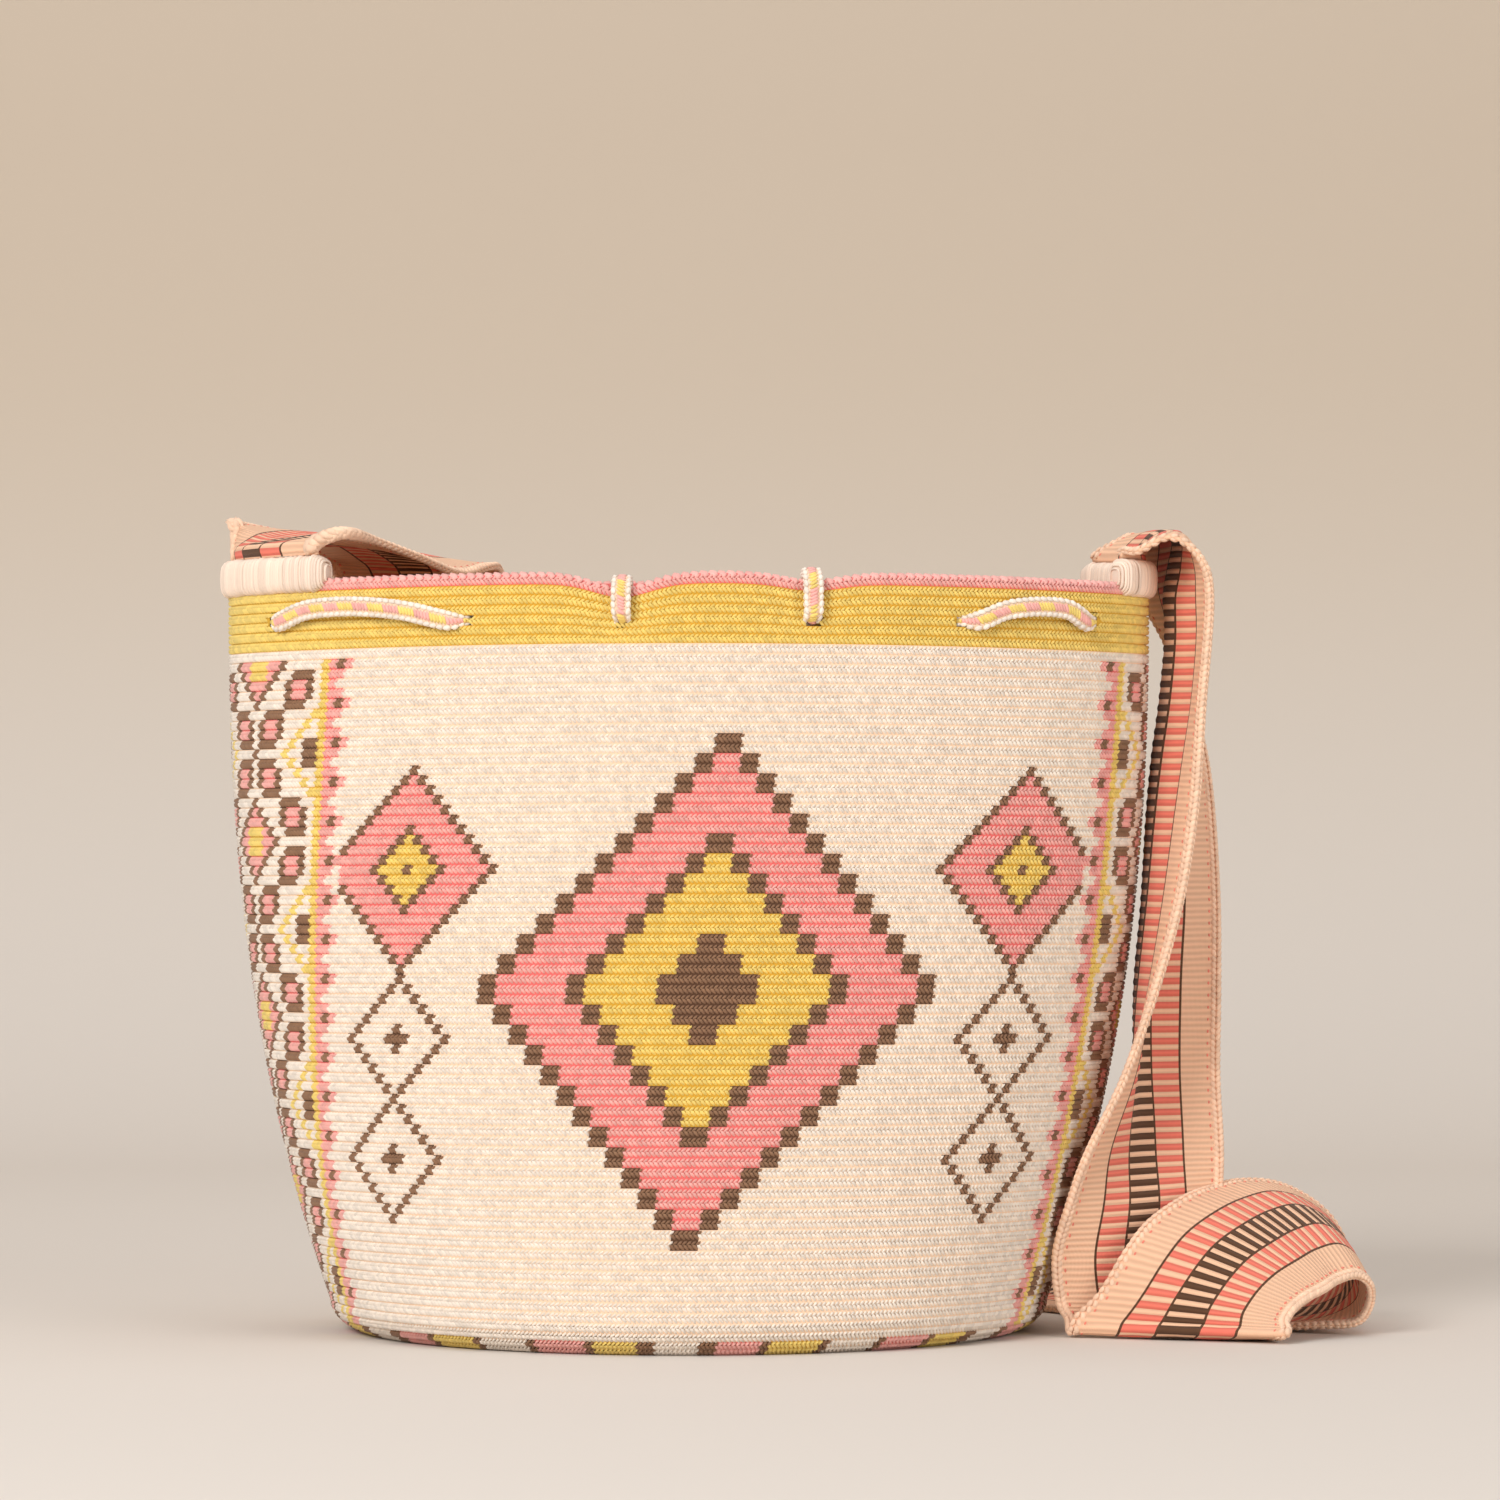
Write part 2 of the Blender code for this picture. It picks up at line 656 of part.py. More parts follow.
def outside(angle, bow=0.0):
    """On the wall's outer face, bowed up and out by a share of the slack."""
    lift = OUTER_LANE + 1.2 * BEND_UNIT * bow
    return wall(angle, EYELET_LEVEL + STRING_SLACK_RISE * bow, lift), UPRIGHT, 1.0


def inside(angle):
    return wall(angle, EYELET_LEVEL, INNER_LANE), UPRIGHT, 1.0


def through(angle):
    """In the middle of an eyelet, where the cord is squeezed together."""
    return wall(angle, EYELET_LEVEL, -WALL / 2), UPRIGHT, EYELET_SQUEEZE


def between(start, end, count):
    return [start + (end - start) * (k + 1) / (count + 1) for k in range(count)]


def tail_axis(angle):
    """Where the tail hangs plumb, far enough in for its tassel to clear the wall."""
    top = rim_height(angle)
    return wall(angle, top, -WALL - TASSEL_RADIUS - STRING_THICKNESS / 2)


def tail_route(angle, side):
    """From the end inside the bag, over the rim, down to the eyelet and in through it.

    side is the sign of the change of angle from the eyelet into the bag's own run.
    """
    top = rim_height(angle)
    flat = along(angle, top)
    axis = tail_axis(angle)
    over = CLEARANCE + STRING_THICKNESS / 2 + RIB_DEPTH
    route = []
    for k in range(7):
        rise = (TAIL_LENGTH - 6 * BEND_UNIT) * k / 6
        plumb = Vector((axis.x, axis.y, top - TAIL_LENGTH + rise))
        route.append((plumb, flat, 1.0))
    bend = (
        (-WALL - 5.5 * BEND_UNIT, top + 0.5 * BEND_UNIT, 1.0),
        (-WALL / 2 - 2 * BEND_UNIT, top + over + BEND_UNIT, 1.0),
        (0, top + over + 0.9 * BEND_UNIT, 1.0),
        (over + 1.2 * BEND_UNIT, top - 0.5 * BEND_UNIT, 1.0),
        (over + BEND_UNIT, (EYELET_LEVEL + top) / 2, 1.0),
        (over + 0.6 * BEND_UNIT, EYELET_LEVEL + 2.5 * BEND_UNIT, 0.75),
    )
    route += [(wall(angle, z, gap), flat, squeeze) for gap, z, squeeze in bend]
    leaning = flat * -side + UPRIGHT
    route.append((wall(angle, EYELET_LEVEL, -WALL / 2), leaning, EYELET_SQUEEZE))
    entry = angle + side * degrees_for(angle, CROSSING)
    return [*route, (wall(entry, EYELET_LEVEL, INNER_LANE - BEND_UNIT), UPRIGHT, 0.9)]


def string_route():
    """The whole cord, leftwards round the bag from one tail to the other."""
    left_tail, right_tail = TAIL_ANGLES
    route = tail_route(left_tail, -1)
    start = left_tail - degrees_for(left_tail, CROSSING)
    for leave, enter in OUTSIDE_RUNS:
        leave_step = degrees_for(leave, CROSSING)
        enter_step = degrees_for(enter, CROSSING)
        count = max(2, round((start - leave) / 7))
        route += [inside(angle) for angle in between(start, leave + leave_step, count)]
        route += [inside(leave + leave_step), through(leave), outside(leave - leave_step)]
        for angle in between(leave - leave_step, enter + enter_step, 4):
            share = (leave - angle) / (leave - enter)
            route.append(outside(angle, math.sin(share * math.pi)))
        route += [outside(enter + enter_step), through(enter), inside(enter - enter_step)]
        start = enter - enter_step
    end = right_tail - 360 + degrees_for(right_tail, CROSSING)
    route += [inside(angle) for angle in between(start, end, 2)]
    return [*route, *reversed(tail_route(right_tail, 1))]


def build_drawstring(material):
    places, widths, squeezes = zip(*string_route())
    rings = []
    for i, place in enumerate(places):
        ahead = places[min(i + 1, len(places) - 1)] - places[max(i - 1, 0)]
        ahead.normalize()
        width = widths[i] - ahead * widths[i].dot(ahead)
        width.normalize()
        normal = ahead.cross(width)
        ring = []
        for k in range(STRING_SIDES):
            turn = 2 * math.pi * k / STRING_SIDES
            across = width * math.cos(turn) * STRING_WIDTH / 2 * squeezes[i]
            ring.append(place + across + normal * math.sin(turn) * STRING_THICKNESS / 2)
        rings.append(ring)
    bm = bmesh.new()
    verts, _ = add_rings(bm, rings)
    bm.faces.new(verts[0])
    bm.faces.new(verts[-1])
    return add_object("drawstring", bm, [material], sharp_degrees=70)


def build_tassel(name, angle, material):
    """Knot and tassel turned about the plumb line of the drawstring's end."""
    end = tail_axis(angle)
    start = rim_height(angle) - TAIL_LENGTH - CLEARANCE
    neck = KNOT_RADIUS * 0.62
    profile = (
        (0.45 * KNOT_RADIUS, 0.0),
        (0.85 * KNOT_RADIUS, 0.28 * KNOT_RADIUS),
        (KNOT_RADIUS, 0.8 * KNOT_RADIUS),
        (0.85 * KNOT_RADIUS, 1.35 * KNOT_RADIUS),
        (neck, 1.7 * KNOT_RADIUS),
        (neck * 1.25, 2.2 * KNOT_RADIUS),
        (TASSEL_RADIUS, 2.2 * KNOT_RADIUS + TASSEL_LENGTH * 0.45),
        (TASSEL_RADIUS * 0.96, 2.2 * KNOT_RADIUS + TASSEL_LENGTH),
    )
    rings = []
    for radius, down in profile:
        ring = []
        for k in range(TASSEL_SIDES):
            turn = 2 * math.pi * k / TASSEL_SIDES
            offset = Vector((radius * math.cos(turn), radius * math.sin(turn), 0))
            ring.append(Vector((end.x, end.y, start - down)) + offset)
        rings.append(ring)
    bm = bmesh.new()
    verts, _ = add_rings(bm, rings)
    bm.faces.new(verts[0])
    bm.faces.new(verts[-1])
    return add_object(name, bm, [material])


def main():
    clear_scene()
    yarns = {
        "cream": make_material("cream_yarn", CREAM),
        "mustard": make_material("mustard_yarn", MUSTARD),
        "rose": make_material("rose_yarn", ROSE),
        "brown": make_material("brown_yarn", BROWN),
    }
    build_body(yarns)
    build_stitching("right_strap_stitching", RIGHT_END_ANGLE, make_material("peach_stitching", PEACH))
    build_stitching("left_strap_stitching", LEFT_END_ANGLE, make_material("pale_stitching", PEACH))
    strap_yarns = {
        "peach": make_material("peach_webbing", PEACH),
        "coral": make_material("coral_webbing", CORAL),
        "brown": make_material("brown_webbing", BROWN),
    }
    build_strap(strap_yarns)
    build_drawstring(make_material("braided_cord", CREAM))
    build_tassel("left_cord_tassel", TAIL_ANGLES[0], make_material("coral_tassel", CORAL))
    build_tassel("right_cord_tassel", TAIL_ANGLES[1], make_material("coral_tassel_right", CORAL))


main()
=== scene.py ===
"""Crocheted shoulder bag with a woven strap and a braided drawstring, dressed over its CAD frame.

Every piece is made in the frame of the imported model: metres, +Z up, the floor at Z 0, the bag's
axis on Z and its front towards -Y. Angles are in degrees round the bag, 270 at the front.
"""

import logging
import math
from collections.abc import Sequence
from dataclasses import dataclass
from enum import Enum

import bpy
import numpy as np
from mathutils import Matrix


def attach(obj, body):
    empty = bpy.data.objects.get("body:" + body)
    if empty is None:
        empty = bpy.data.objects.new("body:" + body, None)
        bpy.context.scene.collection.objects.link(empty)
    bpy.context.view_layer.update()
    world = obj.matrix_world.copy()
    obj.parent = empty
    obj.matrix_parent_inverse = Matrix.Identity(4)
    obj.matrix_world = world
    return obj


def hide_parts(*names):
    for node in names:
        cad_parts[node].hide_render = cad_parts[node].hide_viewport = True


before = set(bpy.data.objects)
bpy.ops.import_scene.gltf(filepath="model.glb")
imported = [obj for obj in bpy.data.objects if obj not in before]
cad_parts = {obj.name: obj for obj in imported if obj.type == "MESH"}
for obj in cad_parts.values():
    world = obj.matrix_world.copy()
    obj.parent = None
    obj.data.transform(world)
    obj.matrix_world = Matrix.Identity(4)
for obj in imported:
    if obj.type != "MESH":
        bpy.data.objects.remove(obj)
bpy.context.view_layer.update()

MM = 0.001
LOG = logging.getLogger("mochila")
UP = np.array((0.0, 0.0, 1.0))
Triple = tuple[float, float, float]


class Yarn(Enum):
    """The yarns, each by its slot in a piece made of several."""

    CREAM = 0
    MUSTARD = 1
    ROSE = 2
    BROWN = 3
    PEACH = 4
    CORAL = 5
    PALE = 6


def unit(vectors: np.ndarray) -> np.ndarray:
    """Vectors of length 1 in the same directions."""
    return vectors / np.maximum(np.linalg.norm(vectors, axis=-1, keepdims=True), 1e-12)


def linear(channel: float) -> float:
    """A channel of a screen colour as light."""
    return channel / 12.92 if channel <= 0.04045 else ((channel + 0.055) / 1.055) ** 2.4


class Hold(Enum):
    """How a piece of cloth is held."""

    FOLDED = "folded"


def slanted(side: np.ndarray, rise: np.ndarray, degrees: float) -> np.ndarray:
    """Directions turned from one way towards another by an angle."""
    lean = math.radians(degrees)
    return side * math.cos(lean) + rise * math.sin(lean)


def around(turn: np.ndarray) -> tuple[np.ndarray, np.ndarray]:
    """Level directions outwards from a circle and along it, at angles in radians."""
    level = np.zeros_like(turn)
    outwards = np.stack((np.cos(turn), np.sin(turn), level), axis=-1)
    return outwards, np.stack((-np.sin(turn), np.cos(turn), level), axis=-1)


# Finishes


@dataclass(frozen=True)
class Finish:
    """A matte finish whose material is made when it is first asked for.

    Attributes:
        name: the material's name.
        colour: screen colour, each channel from 0 to 1.
    """

    name: str
    colour: Triple

    def material(self) -> bpy.types.Material:
        """The finish as a material, made once."""
        known = bpy.data.materials.get(self.name)
        return known if known is not None else self._make()

    def _make(self) -> bpy.types.Material:
        """Build the node tree of the finish."""
        raise NotImplementedError

    def _start(self, roughness: float, specular: float) -> tuple[bpy.types.Material, bpy.types.Node, Triple]:
        """A new material with its surface set.

        Args:
            roughness: the surface's roughness.
            specular: its specular level.

        Returns:
            The material, its Principled node and the colour as light.
        """
        material = bpy.data.materials.new(self.name)
        material.use_nodes = True
        shader = material.node_tree.nodes["Principled BSDF"]
        light = tuple(linear(c) for c in self.colour)
        material.diffuse_color = (*light, 1.0)
        shader.inputs["Roughness"].default_value = roughness
        shader.inputs["Specular IOR Level"].default_value = specular
        return material, shader, light


@dataclass(frozen=True)
class YarnFinish(Finish):
    """Matte cotton yarn: soft sheen, fine fibres and a slightly different tone in every stitch.

    Attributes:
        tones: how much darker and lighter single stitches are.
        fibre: size of the fibres' bump, in metres.
        toned: whether the stitches carry a tone of their own.
    """

    tones: tuple[float, float] = (0.87, 1.07)
    fibre: float = 0.0003
    toned: bool = True

    def _make(self) -> bpy.types.Material:
        """Build the node tree of the finish."""
        material, shader, light = self._start(0.9, 0.25)
        tree = material.node_tree
        shader.inputs["Sheen Weight"].default_value = 0.12
        shader.inputs["Sheen Roughness"].default_value = 0.6
        place = tree.nodes.new("ShaderNodeTexCoord")
        noise = tree.nodes.new("ShaderNodeTexNoise")
        noise.inputs["Scale"].default_value = 0.6 / self.fibre
        noise.inputs["Detail"].default_value = 3.0
        bump = tree.nodes.new("ShaderNodeBump")
        bump.inputs["Strength"].default_value = 0.55
        bump.inputs["Distance"].default_value = self.fibre
        tree.links.new(place.outputs["Object"], noise.inputs["Vector"])
        tree.links.new(noise.outputs["Fac"], bump.inputs["Height"])
        tree.links.new(bump.outputs["Normal"], shader.inputs["Normal"])
        shade = tree.nodes.new("ShaderNodeHueSaturation")
        shade.inputs["Color"].default_value = (*light, 1.0)
        if self.toned:
            tone = tree.nodes.new("ShaderNodeAttribute")
            tone.attribute_name = "tone"
            spread = tree.nodes.new("ShaderNodeMapRange")
            spread.inputs["To Min"].default_value = self.tones[0]
            spread.inputs["To Max"].default_value = self.tones[1]
            tree.links.new(tone.outputs["Fac"], spread.inputs["Value"])
            tree.links.new(spread.outputs["Result"], shade.inputs["Value"])
        tree.links.new(shade.outputs["Color"], shader.inputs["Base Color"])
        return material


@dataclass(frozen=True)
class WebbingFinish(Finish):
    """Warp-faced weave: fine ribs along the band and finer picks across it, on the band's UV map, with
    painted shade in its hollows and painted highlight on its crests.

    Attributes:
        rib: width of a warp rib, in metres.
        pick: distance between picks, in metres.
        depth: height of the weave, in metres.
    """

    rib: float = 0.00052
    pick: float = 0.0023
    depth: float = 0.00042

    def _wave(self, tree: bpy.types.NodeTree, axis: str, pitch: float) -> bpy.types.Node:
        """Bands of a pitch along one axis of the UV map.

        Args:
            tree: the material's node tree.
            axis: X or Y.
            pitch: distance between bands, in metres.

        Returns:
            The wave texture's node.
        """
        wave = tree.nodes.new("ShaderNodeTexWave")
        wave.bands_direction = axis
        wave.inputs["Scale"].default_value = math.pi / 10 / pitch
        wave.inputs["Distortion"].default_value = 0.6
        wave.inputs["Detail"].default_value = 1.0
        tree.links.new(tree.nodes["Band map"].outputs["UV"], wave.inputs["Vector"])
        return wave

    def _make(self) -> bpy.types.Material:
        """Build the node tree of the finish."""
        material, shader, light = self._start(0.88, 0.25)
        tree = material.node_tree
        shader.inputs["Sheen Weight"].default_value = 0.1
        place = tree.nodes.new("ShaderNodeTexCoord")
        place.name = "Band map"
        ribs = self._wave(tree, "X", self.rib)
        picks = self._wave(tree, "Y", self.pick)
        height = tree.nodes.new("ShaderNodeMath")
        height.operation = "MULTIPLY_ADD"
        height.inputs[1].default_value = 0.3
        bump = tree.nodes.new("ShaderNodeBump")
        bump.inputs["Strength"].default_value = 0.8
        bump.inputs["Distance"].default_value = self.depth
        tree.links.new(ribs.outputs["Fac"], height.inputs[0])
        tree.links.new(picks.outputs["Fac"], height.inputs[2])
        tree.links.new(height.outputs["Value"], bump.inputs["Height"])
        tree.links.new(bump.outputs["Normal"], shader.inputs["Normal"])
        # The colour follows the weave's height: painted shade in its hollows and painted highlight on its
        # crests.
        shade = tree.nodes.new("ShaderNodeMapRange")
        shade.inputs["From Max"].default_value = 1.3
        shade.inputs["To Min"].default_value = 0.8
        shade.inputs["To Max"].default_value = 1.08
        tint = tree.nodes.new("ShaderNodeHueSaturation")
        tint.inputs["Color"].default_value = (*light, 1.0)
        tree.links.new(height.outputs["Value"], shade.inputs["Value"])
        tree.links.new(shade.outputs["Result"], tint.inputs["Value"])
        tree.links.new(tint.outputs["Color"], shader.inputs["Base Color"])
        return material


@dataclass(frozen=True)
class PlainFinish(Finish):
    """A matte colour on the floor that turns into another on the backdrop.

    The inherited colour is the floor's.

    Attributes:
        upper: screen colour of the backdrop.
        blend: height over which the one turns into the other.
    """

    upper: Triple
    blend: float = 0.5

    def _make(self) -> bpy.types.Material:
        """Build the node tree of the finish."""
        material, shader, light = self._start(0.8, 0.2)
        tree = material.node_tree
        place = tree.nodes.new("ShaderNodeNewGeometry")
        split = tree.nodes.new("ShaderNodeSeparateXYZ")
        tree.links.new(place.outputs["Position"], split.inputs[0])
        height = tree.nodes.new("ShaderNodeMapRange")
        height.interpolation_type = "SMOOTHSTEP"
        height.inputs["From Max"].default_value = self.blend
        tree.links.new(split.outputs["Z"], height.inputs["Value"])
        mix = tree.nodes.new("ShaderNodeMix")
        mix.data_type = "RGBA"
        colours = [s for s in mix.inputs if s.type == "RGBA"]
        colours[0].default_value = (*light, 1.0)
        colours[1].default_value = (*(linear(c) for c in self.upper), 1.0)
        tree.links.new(height.outputs["Result"], mix.inputs["Factor"])
        blended = next(s for s in mix.outputs if s.type == "RGBA")
        tree.links.new(blended, shader.inputs["Base Color"])
        return material


CROCHET = {
    Yarn.CREAM: YarnFinish("cream_yarn", (0.985, 0.93, 0.87)),
    Yarn.MUSTARD: YarnFinish("mustard_yarn", (0.98, 0.86, 0.49)),
    Yarn.ROSE: YarnFinish("rose_yarn", (0.98, 0.72, 0.68)),
    Yarn.BROWN: YarnFinish("brown_yarn", (0.60, 0.45, 0.34)),
    Yarn.PEACH: YarnFinish("peach_yarn", (0.985, 0.83, 0.71)),
    Yarn.CORAL: YarnFinish("coral_yarn", (0.95, 0.55, 0.47)),
    Yarn.PALE: YarnFinish("pale_peach_yarn", (0.985, 0.89, 0.81)),
}
# The ground under the strokes takes darker, warmer copies of the yarns: painted shade in the grooves between
# the strokes.
SHADED_GROUND = {
    Yarn.CREAM: YarnFinish("cream_ground", (0.97, 0.84, 0.72), toned=False),
    Yarn.MUSTARD: YarnFinish("mustard_ground", (0.84, 0.65, 0.22), toned=False),
    Yarn.ROSE: YarnFinish("rose_ground", (0.92, 0.46, 0.44), toned=False),
    Yarn.BROWN: YarnFinish("brown_ground", (0.38, 0.26, 0.18), toned=False),
}
WEBBING = {
    Yarn.PEACH: WebbingFinish("peach_webbing_weave", (0.985, 0.79, 0.65)),
    Yarn.CORAL: WebbingFinish("coral_webbing_weave", (0.96, 0.50, 0.42)),
    Yarn.BROWN: WebbingFinish("brown_webbing_weave", (0.38, 0.26, 0.18)),
}


# Mesh and Geometry Nodes helpers


def finish_piece(piece: bpy.types.Object, slot: str, *nodes: str) -> bpy.types.Object:
    """Make a piece ride on the bag and stand for its CAD nodes.

    Args:
        piece: the finished object.
        slot: the record's material slot; not used.
        nodes: the CAD nodes that it replaces.

    Returns:
        The piece.
    """
    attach(piece, "root")
    if nodes:
        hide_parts(*nodes)
    faces = sum(len(p.vertices) - 2 for p in piece.data.polygons)
    LOG.info("%s: %d triangles", piece.name, faces)
    return piece


def add_mesh(name: str, points: np.ndarray, faces: Sequence[Sequence[int]]) -> bpy.types.Object:
    """A new smooth mesh object in the scene.

    Args:
        name: the object's name.
        points: one row for each vertex.
        faces: vertex numbers of each face, outwards.

    Returns:
        The object.
    """
    mesh = bpy.data.meshes.new(name)
    mesh.from_pydata(np.asarray(points).tolist(), [], [list(f) for f in faces])
    mesh.update()
    mesh.shade_smooth()
    piece = bpy.data.objects.new(name, mesh)
    bpy.context.scene.collection.objects.link(piece)
    return piece


def grid_faces(rows: int, columns: int, closed: bool) -> np.ndarray:
    """Quads of a grid whose points run along each row in turn.

    Args:
        rows: number of rows of points.
        columns: points in a row.
        closed: whether each row closes on itself.

    Returns:
        An array of shape (rows - 1, quads in a row, 4).
    """
    last = columns if closed else columns - 1
    i, j = np.meshgrid(np.arange(rows - 1), np.arange(last), indexing="ij")
    nxt = (j + 1) % columns
    quads = (i * columns + j, i * columns + nxt, (i + 1) * columns + nxt, (i + 1) * columns + j)
    return np.stack(quads, axis=-1)


def add_tube(name: str, rings: np.ndarray) -> bpy.types.Object:
    """A closed tube through rings of points, capped at both ends.

    Args:
        name: the object's name.
        rings: points of shape (rings, sides, 3).

    Returns:
        The object.
    """
    rows, sides = rings.shape[:2]
    quads = grid_faces(rows, sides, closed=True).reshape(-1, 4)
    ends = [list(range(sides))[::-1], list(range((rows - 1) * sides, rows * sides))]
    return add_mesh(name, rings.reshape(-1, 3), [*quads.tolist(), *ends])


def smooth_path(points: np.ndarray, steps: int) -> np.ndarray:
    """A Catmull-Rom curve through the points, with steps spans between each pair."""
    padded = np.vstack((points[0] * 2 - points[1], points, points[-1] * 2 - points[-2]))
    a, b, c, d = (padded[k : len(padded) - 3 + k, None] for k in range(4))
    t = (np.arange(steps) / steps)[None, :, None]
    path = (b * 2 + (c - a) * t + (a * 2 - b * 5 + c * 4 - d) * t**2 + (b * 3 - a - c * 3 + d) * t**3) / 2
    return np.vstack((path.reshape(-1, points.shape[1]), points[-1:]))


def run_lengths(path: np.ndarray) -> np.ndarray:
    """Length along a path up to each of its points."""
    return np.concatenate(([0.0], np.cumsum(np.linalg.norm(np.diff(path, axis=0), axis=1))))


def resample(values: np.ndarray, runs: np.ndarray, wanted: np.ndarray) -> np.ndarray:
    """Values along a path, read at the wanted lengths."""
    return np.stack([np.interp(wanted, runs, column) for column in values.T], axis=-1)


@dataclass(frozen=True)
class StitchTree:
    """Geometry Nodes tree that lays a stitch on every point, turned and sized by attributes.

    Attributes:
        name: the tree's name.
        seed: seed of the looseness and of the tones.
    """

    name: str = "lay_stitches"
    seed: int = 7

    def tree(self) -> bpy.types.NodeTree:
        """The node tree, built once."""
        known = bpy.data.node_groups.get(self.name)
        return known if known is not None else self._build()

    def identifier(self, name: str) -> str:
        """The identifier of a named input."""
        items = self.tree().interface.items_tree
        return next(i.identifier for i in items if i.name == name and i.in_out == "INPUT")

    def _named(self, tree: bpy.types.NodeTree, name: str) -> bpy.types.NodeSocket:
        """The value of a named vector attribute."""
        node = tree.nodes.new("GeometryNodeInputNamedAttribute")
        node.data_type = "FLOAT_VECTOR"
        node.inputs["Name"].default_value = name
        return next(s for s in node.outputs if s.enabled and s.name == "Attribute")

    def _random(self, tree: bpy.types.NodeTree, low: float, shift: int) -> bpy.types.NodeSocket:
        """A random number from low to 1 for each point, from the seed and a shift."""
        node = tree.nodes.new("FunctionNodeRandomValue")
        node.data_type = "FLOAT"
        free = [s for s in node.inputs if s.enabled]
        free[0].default_value = low
        free[1].default_value = 1.0
        add = tree.nodes.new("ShaderNodeMath")
        add.inputs[1].default_value = float(shift)
        tree.links.new(tree.nodes["Sizes"].outputs["Seed"], add.inputs[0])
        tree.links.new(add.outputs["Value"], next(s for s in free if s.name == "Seed"))
        return next(s for s in node.outputs if s.enabled)

    def _build(self) -> bpy.types.NodeTree:
        """Make the tree: instances on points, tones, Realize Instances and Set Material."""
        tree = bpy.data.node_groups.new(self.name, "GeometryNodeTree")
        sockets = (
            ("Geometry", "NodeSocketGeometry"),
            ("Stitch", "NodeSocketObject"),
            ("Yarn", "NodeSocketMaterial"),
            ("Looseness", "NodeSocketFloat"),
            ("Seed", "NodeSocketInt"),
        )
        for name, kind in sockets:
            tree.interface.new_socket(name, in_out="INPUT", socket_type=kind)
        tree.interface.new_socket("Geometry", in_out="OUTPUT", socket_type="NodeSocketGeometry")
        new, link = tree.nodes.new, tree.links.new
        sizes = new("NodeGroupInput")
        sizes.name = "Sizes"
        stitch = new("GeometryNodeObjectInfo")
        link(sizes.outputs["Stitch"], stitch.inputs["Object"])
        turn = new("FunctionNodeAxesToRotation")
        turn.primary_axis = "Z"
        turn.secondary_axis = "X"
        link(self._named(tree, "outward"), turn.inputs["Primary Axis"])
        link(self._named(tree, "along"), turn.inputs["Secondary Axis"])
        loose = new("ShaderNodeMath")
        loose.operation = "MULTIPLY_ADD"
        loose.inputs[2].default_value = 1.0
        link(self._random(tree, -1.0, 0), loose.inputs[0])
        link(sizes.outputs["Looseness"], loose.inputs[1])
        scale = new("ShaderNodeVectorMath")
        scale.operation = "SCALE"
        link(self._named(tree, "size"), scale.inputs[0])
        link(loose.outputs["Value"], scale.inputs["Scale"])
        lay = new("GeometryNodeInstanceOnPoints")
        link(sizes.outputs["Geometry"], lay.inputs["Points"])
        link(stitch.outputs["Geometry"], lay.inputs["Instance"])
        link(turn.outputs["Rotation"], lay.inputs["Rotation"])
        link(scale.outputs["Vector"], lay.inputs["Scale"])
        tone = new("GeometryNodeStoreNamedAttribute")
        tone.data_type = "FLOAT"
        tone.domain = "INSTANCE"
        tone.inputs["Name"].default_value = "tone"
        link(lay.outputs["Instances"], tone.inputs["Geometry"])
        link(self._random(tree, 0.0, 1), next(s for s in tone.inputs if s.enabled and s.name == "Value"))
        real = new("GeometryNodeRealizeInstances")
        link(tone.outputs["Geometry"], real.inputs["Geometry"])
        paint = new("GeometryNodeSetMaterial")
        link(real.outputs["Geometry"], paint.inputs["Geometry"])
        link(sizes.outputs["Yarn"], paint.inputs["Material"])
        end = new("NodeGroupOutput")
        link(paint.outputs["Geometry"], end.inputs["Geometry"])
        return tree


@dataclass
class Stitches:
    """Places, directions and sizes of many stitches of one kind.

    Attributes:
        places: middles of the stitches.
        along: directions of their length.
        outward: directions in which they stand proud.
        size: length, width and height of each.
    """

    places: np.ndarray
    along: np.ndarray
    outward: np.ndarray
    size: np.ndarray

    def where(self, mask: np.ndarray) -> "Stitches":
        """The stitches that a mask keeps."""
        return Stitches(self.places[mask], self.along[mask], self.outward[mask], self.size[mask])

    @staticmethod
    def joined(parts: Sequence["Stitches"]) -> "Stitches":
        """Several sets as one."""
        names = ("places", "along", "outward", "size")
        return Stitches(*(np.concatenate([getattr(p, n) for p in parts]) for n in names))

    def lay(self, name: str, stitch: bpy.types.Object, finish: YarnFinish,
            looseness: float = 0.06) -> bpy.types.Object:
        """Lay the stitches by Geometry Nodes and keep the result as a plain mesh.

        Args:
            name: the piece's name.
            stitch: the object that is laid.
            finish: the yarn.
            looseness: share by which the stitches differ in size.

        Returns:
            The piece.
        """
        kit = StitchTree()
        carrier_mesh = bpy.data.meshes.new(f"{name}_points")
        carrier_mesh.from_pydata(self.places.tolist(), [], [])
        for key in ("along", "outward", "size"):
            values = carrier_mesh.attributes.new(key, "FLOAT_VECTOR", "POINT")
            values.data.foreach_set("vector", getattr(self, key).astype(np.float32).ravel())
        carrier = bpy.data.objects.new(f"{name}_points", carrier_mesh)
        bpy.context.scene.collection.objects.link(carrier)
        modifier = carrier.modifiers.new("stitches", "NODES")
        modifier.node_group = kit.tree()
        modifier[kit.identifier("Stitch")] = stitch
        modifier[kit.identifier("Yarn")] = finish.material()
        modifier[kit.identifier("Looseness")] = looseness
        modifier[kit.identifier("Seed")] = kit.seed
        graph = bpy.context.evaluated_depsgraph_get()
        mesh = bpy.data.meshes.new_from_object(carrier.evaluated_get(graph), depsgraph=graph)
        mesh.name = name
        for key in ("along", "outward", "size"):
            if key in mesh.attributes:
                mesh.attributes.remove(mesh.attributes[key])
        carrier.modifiers.remove(modifier)
        bpy.data.objects.remove(carrier)
        piece = bpy.data.objects.new(name, mesh)
        bpy.context.scene.collection.objects.link(piece)
        return piece


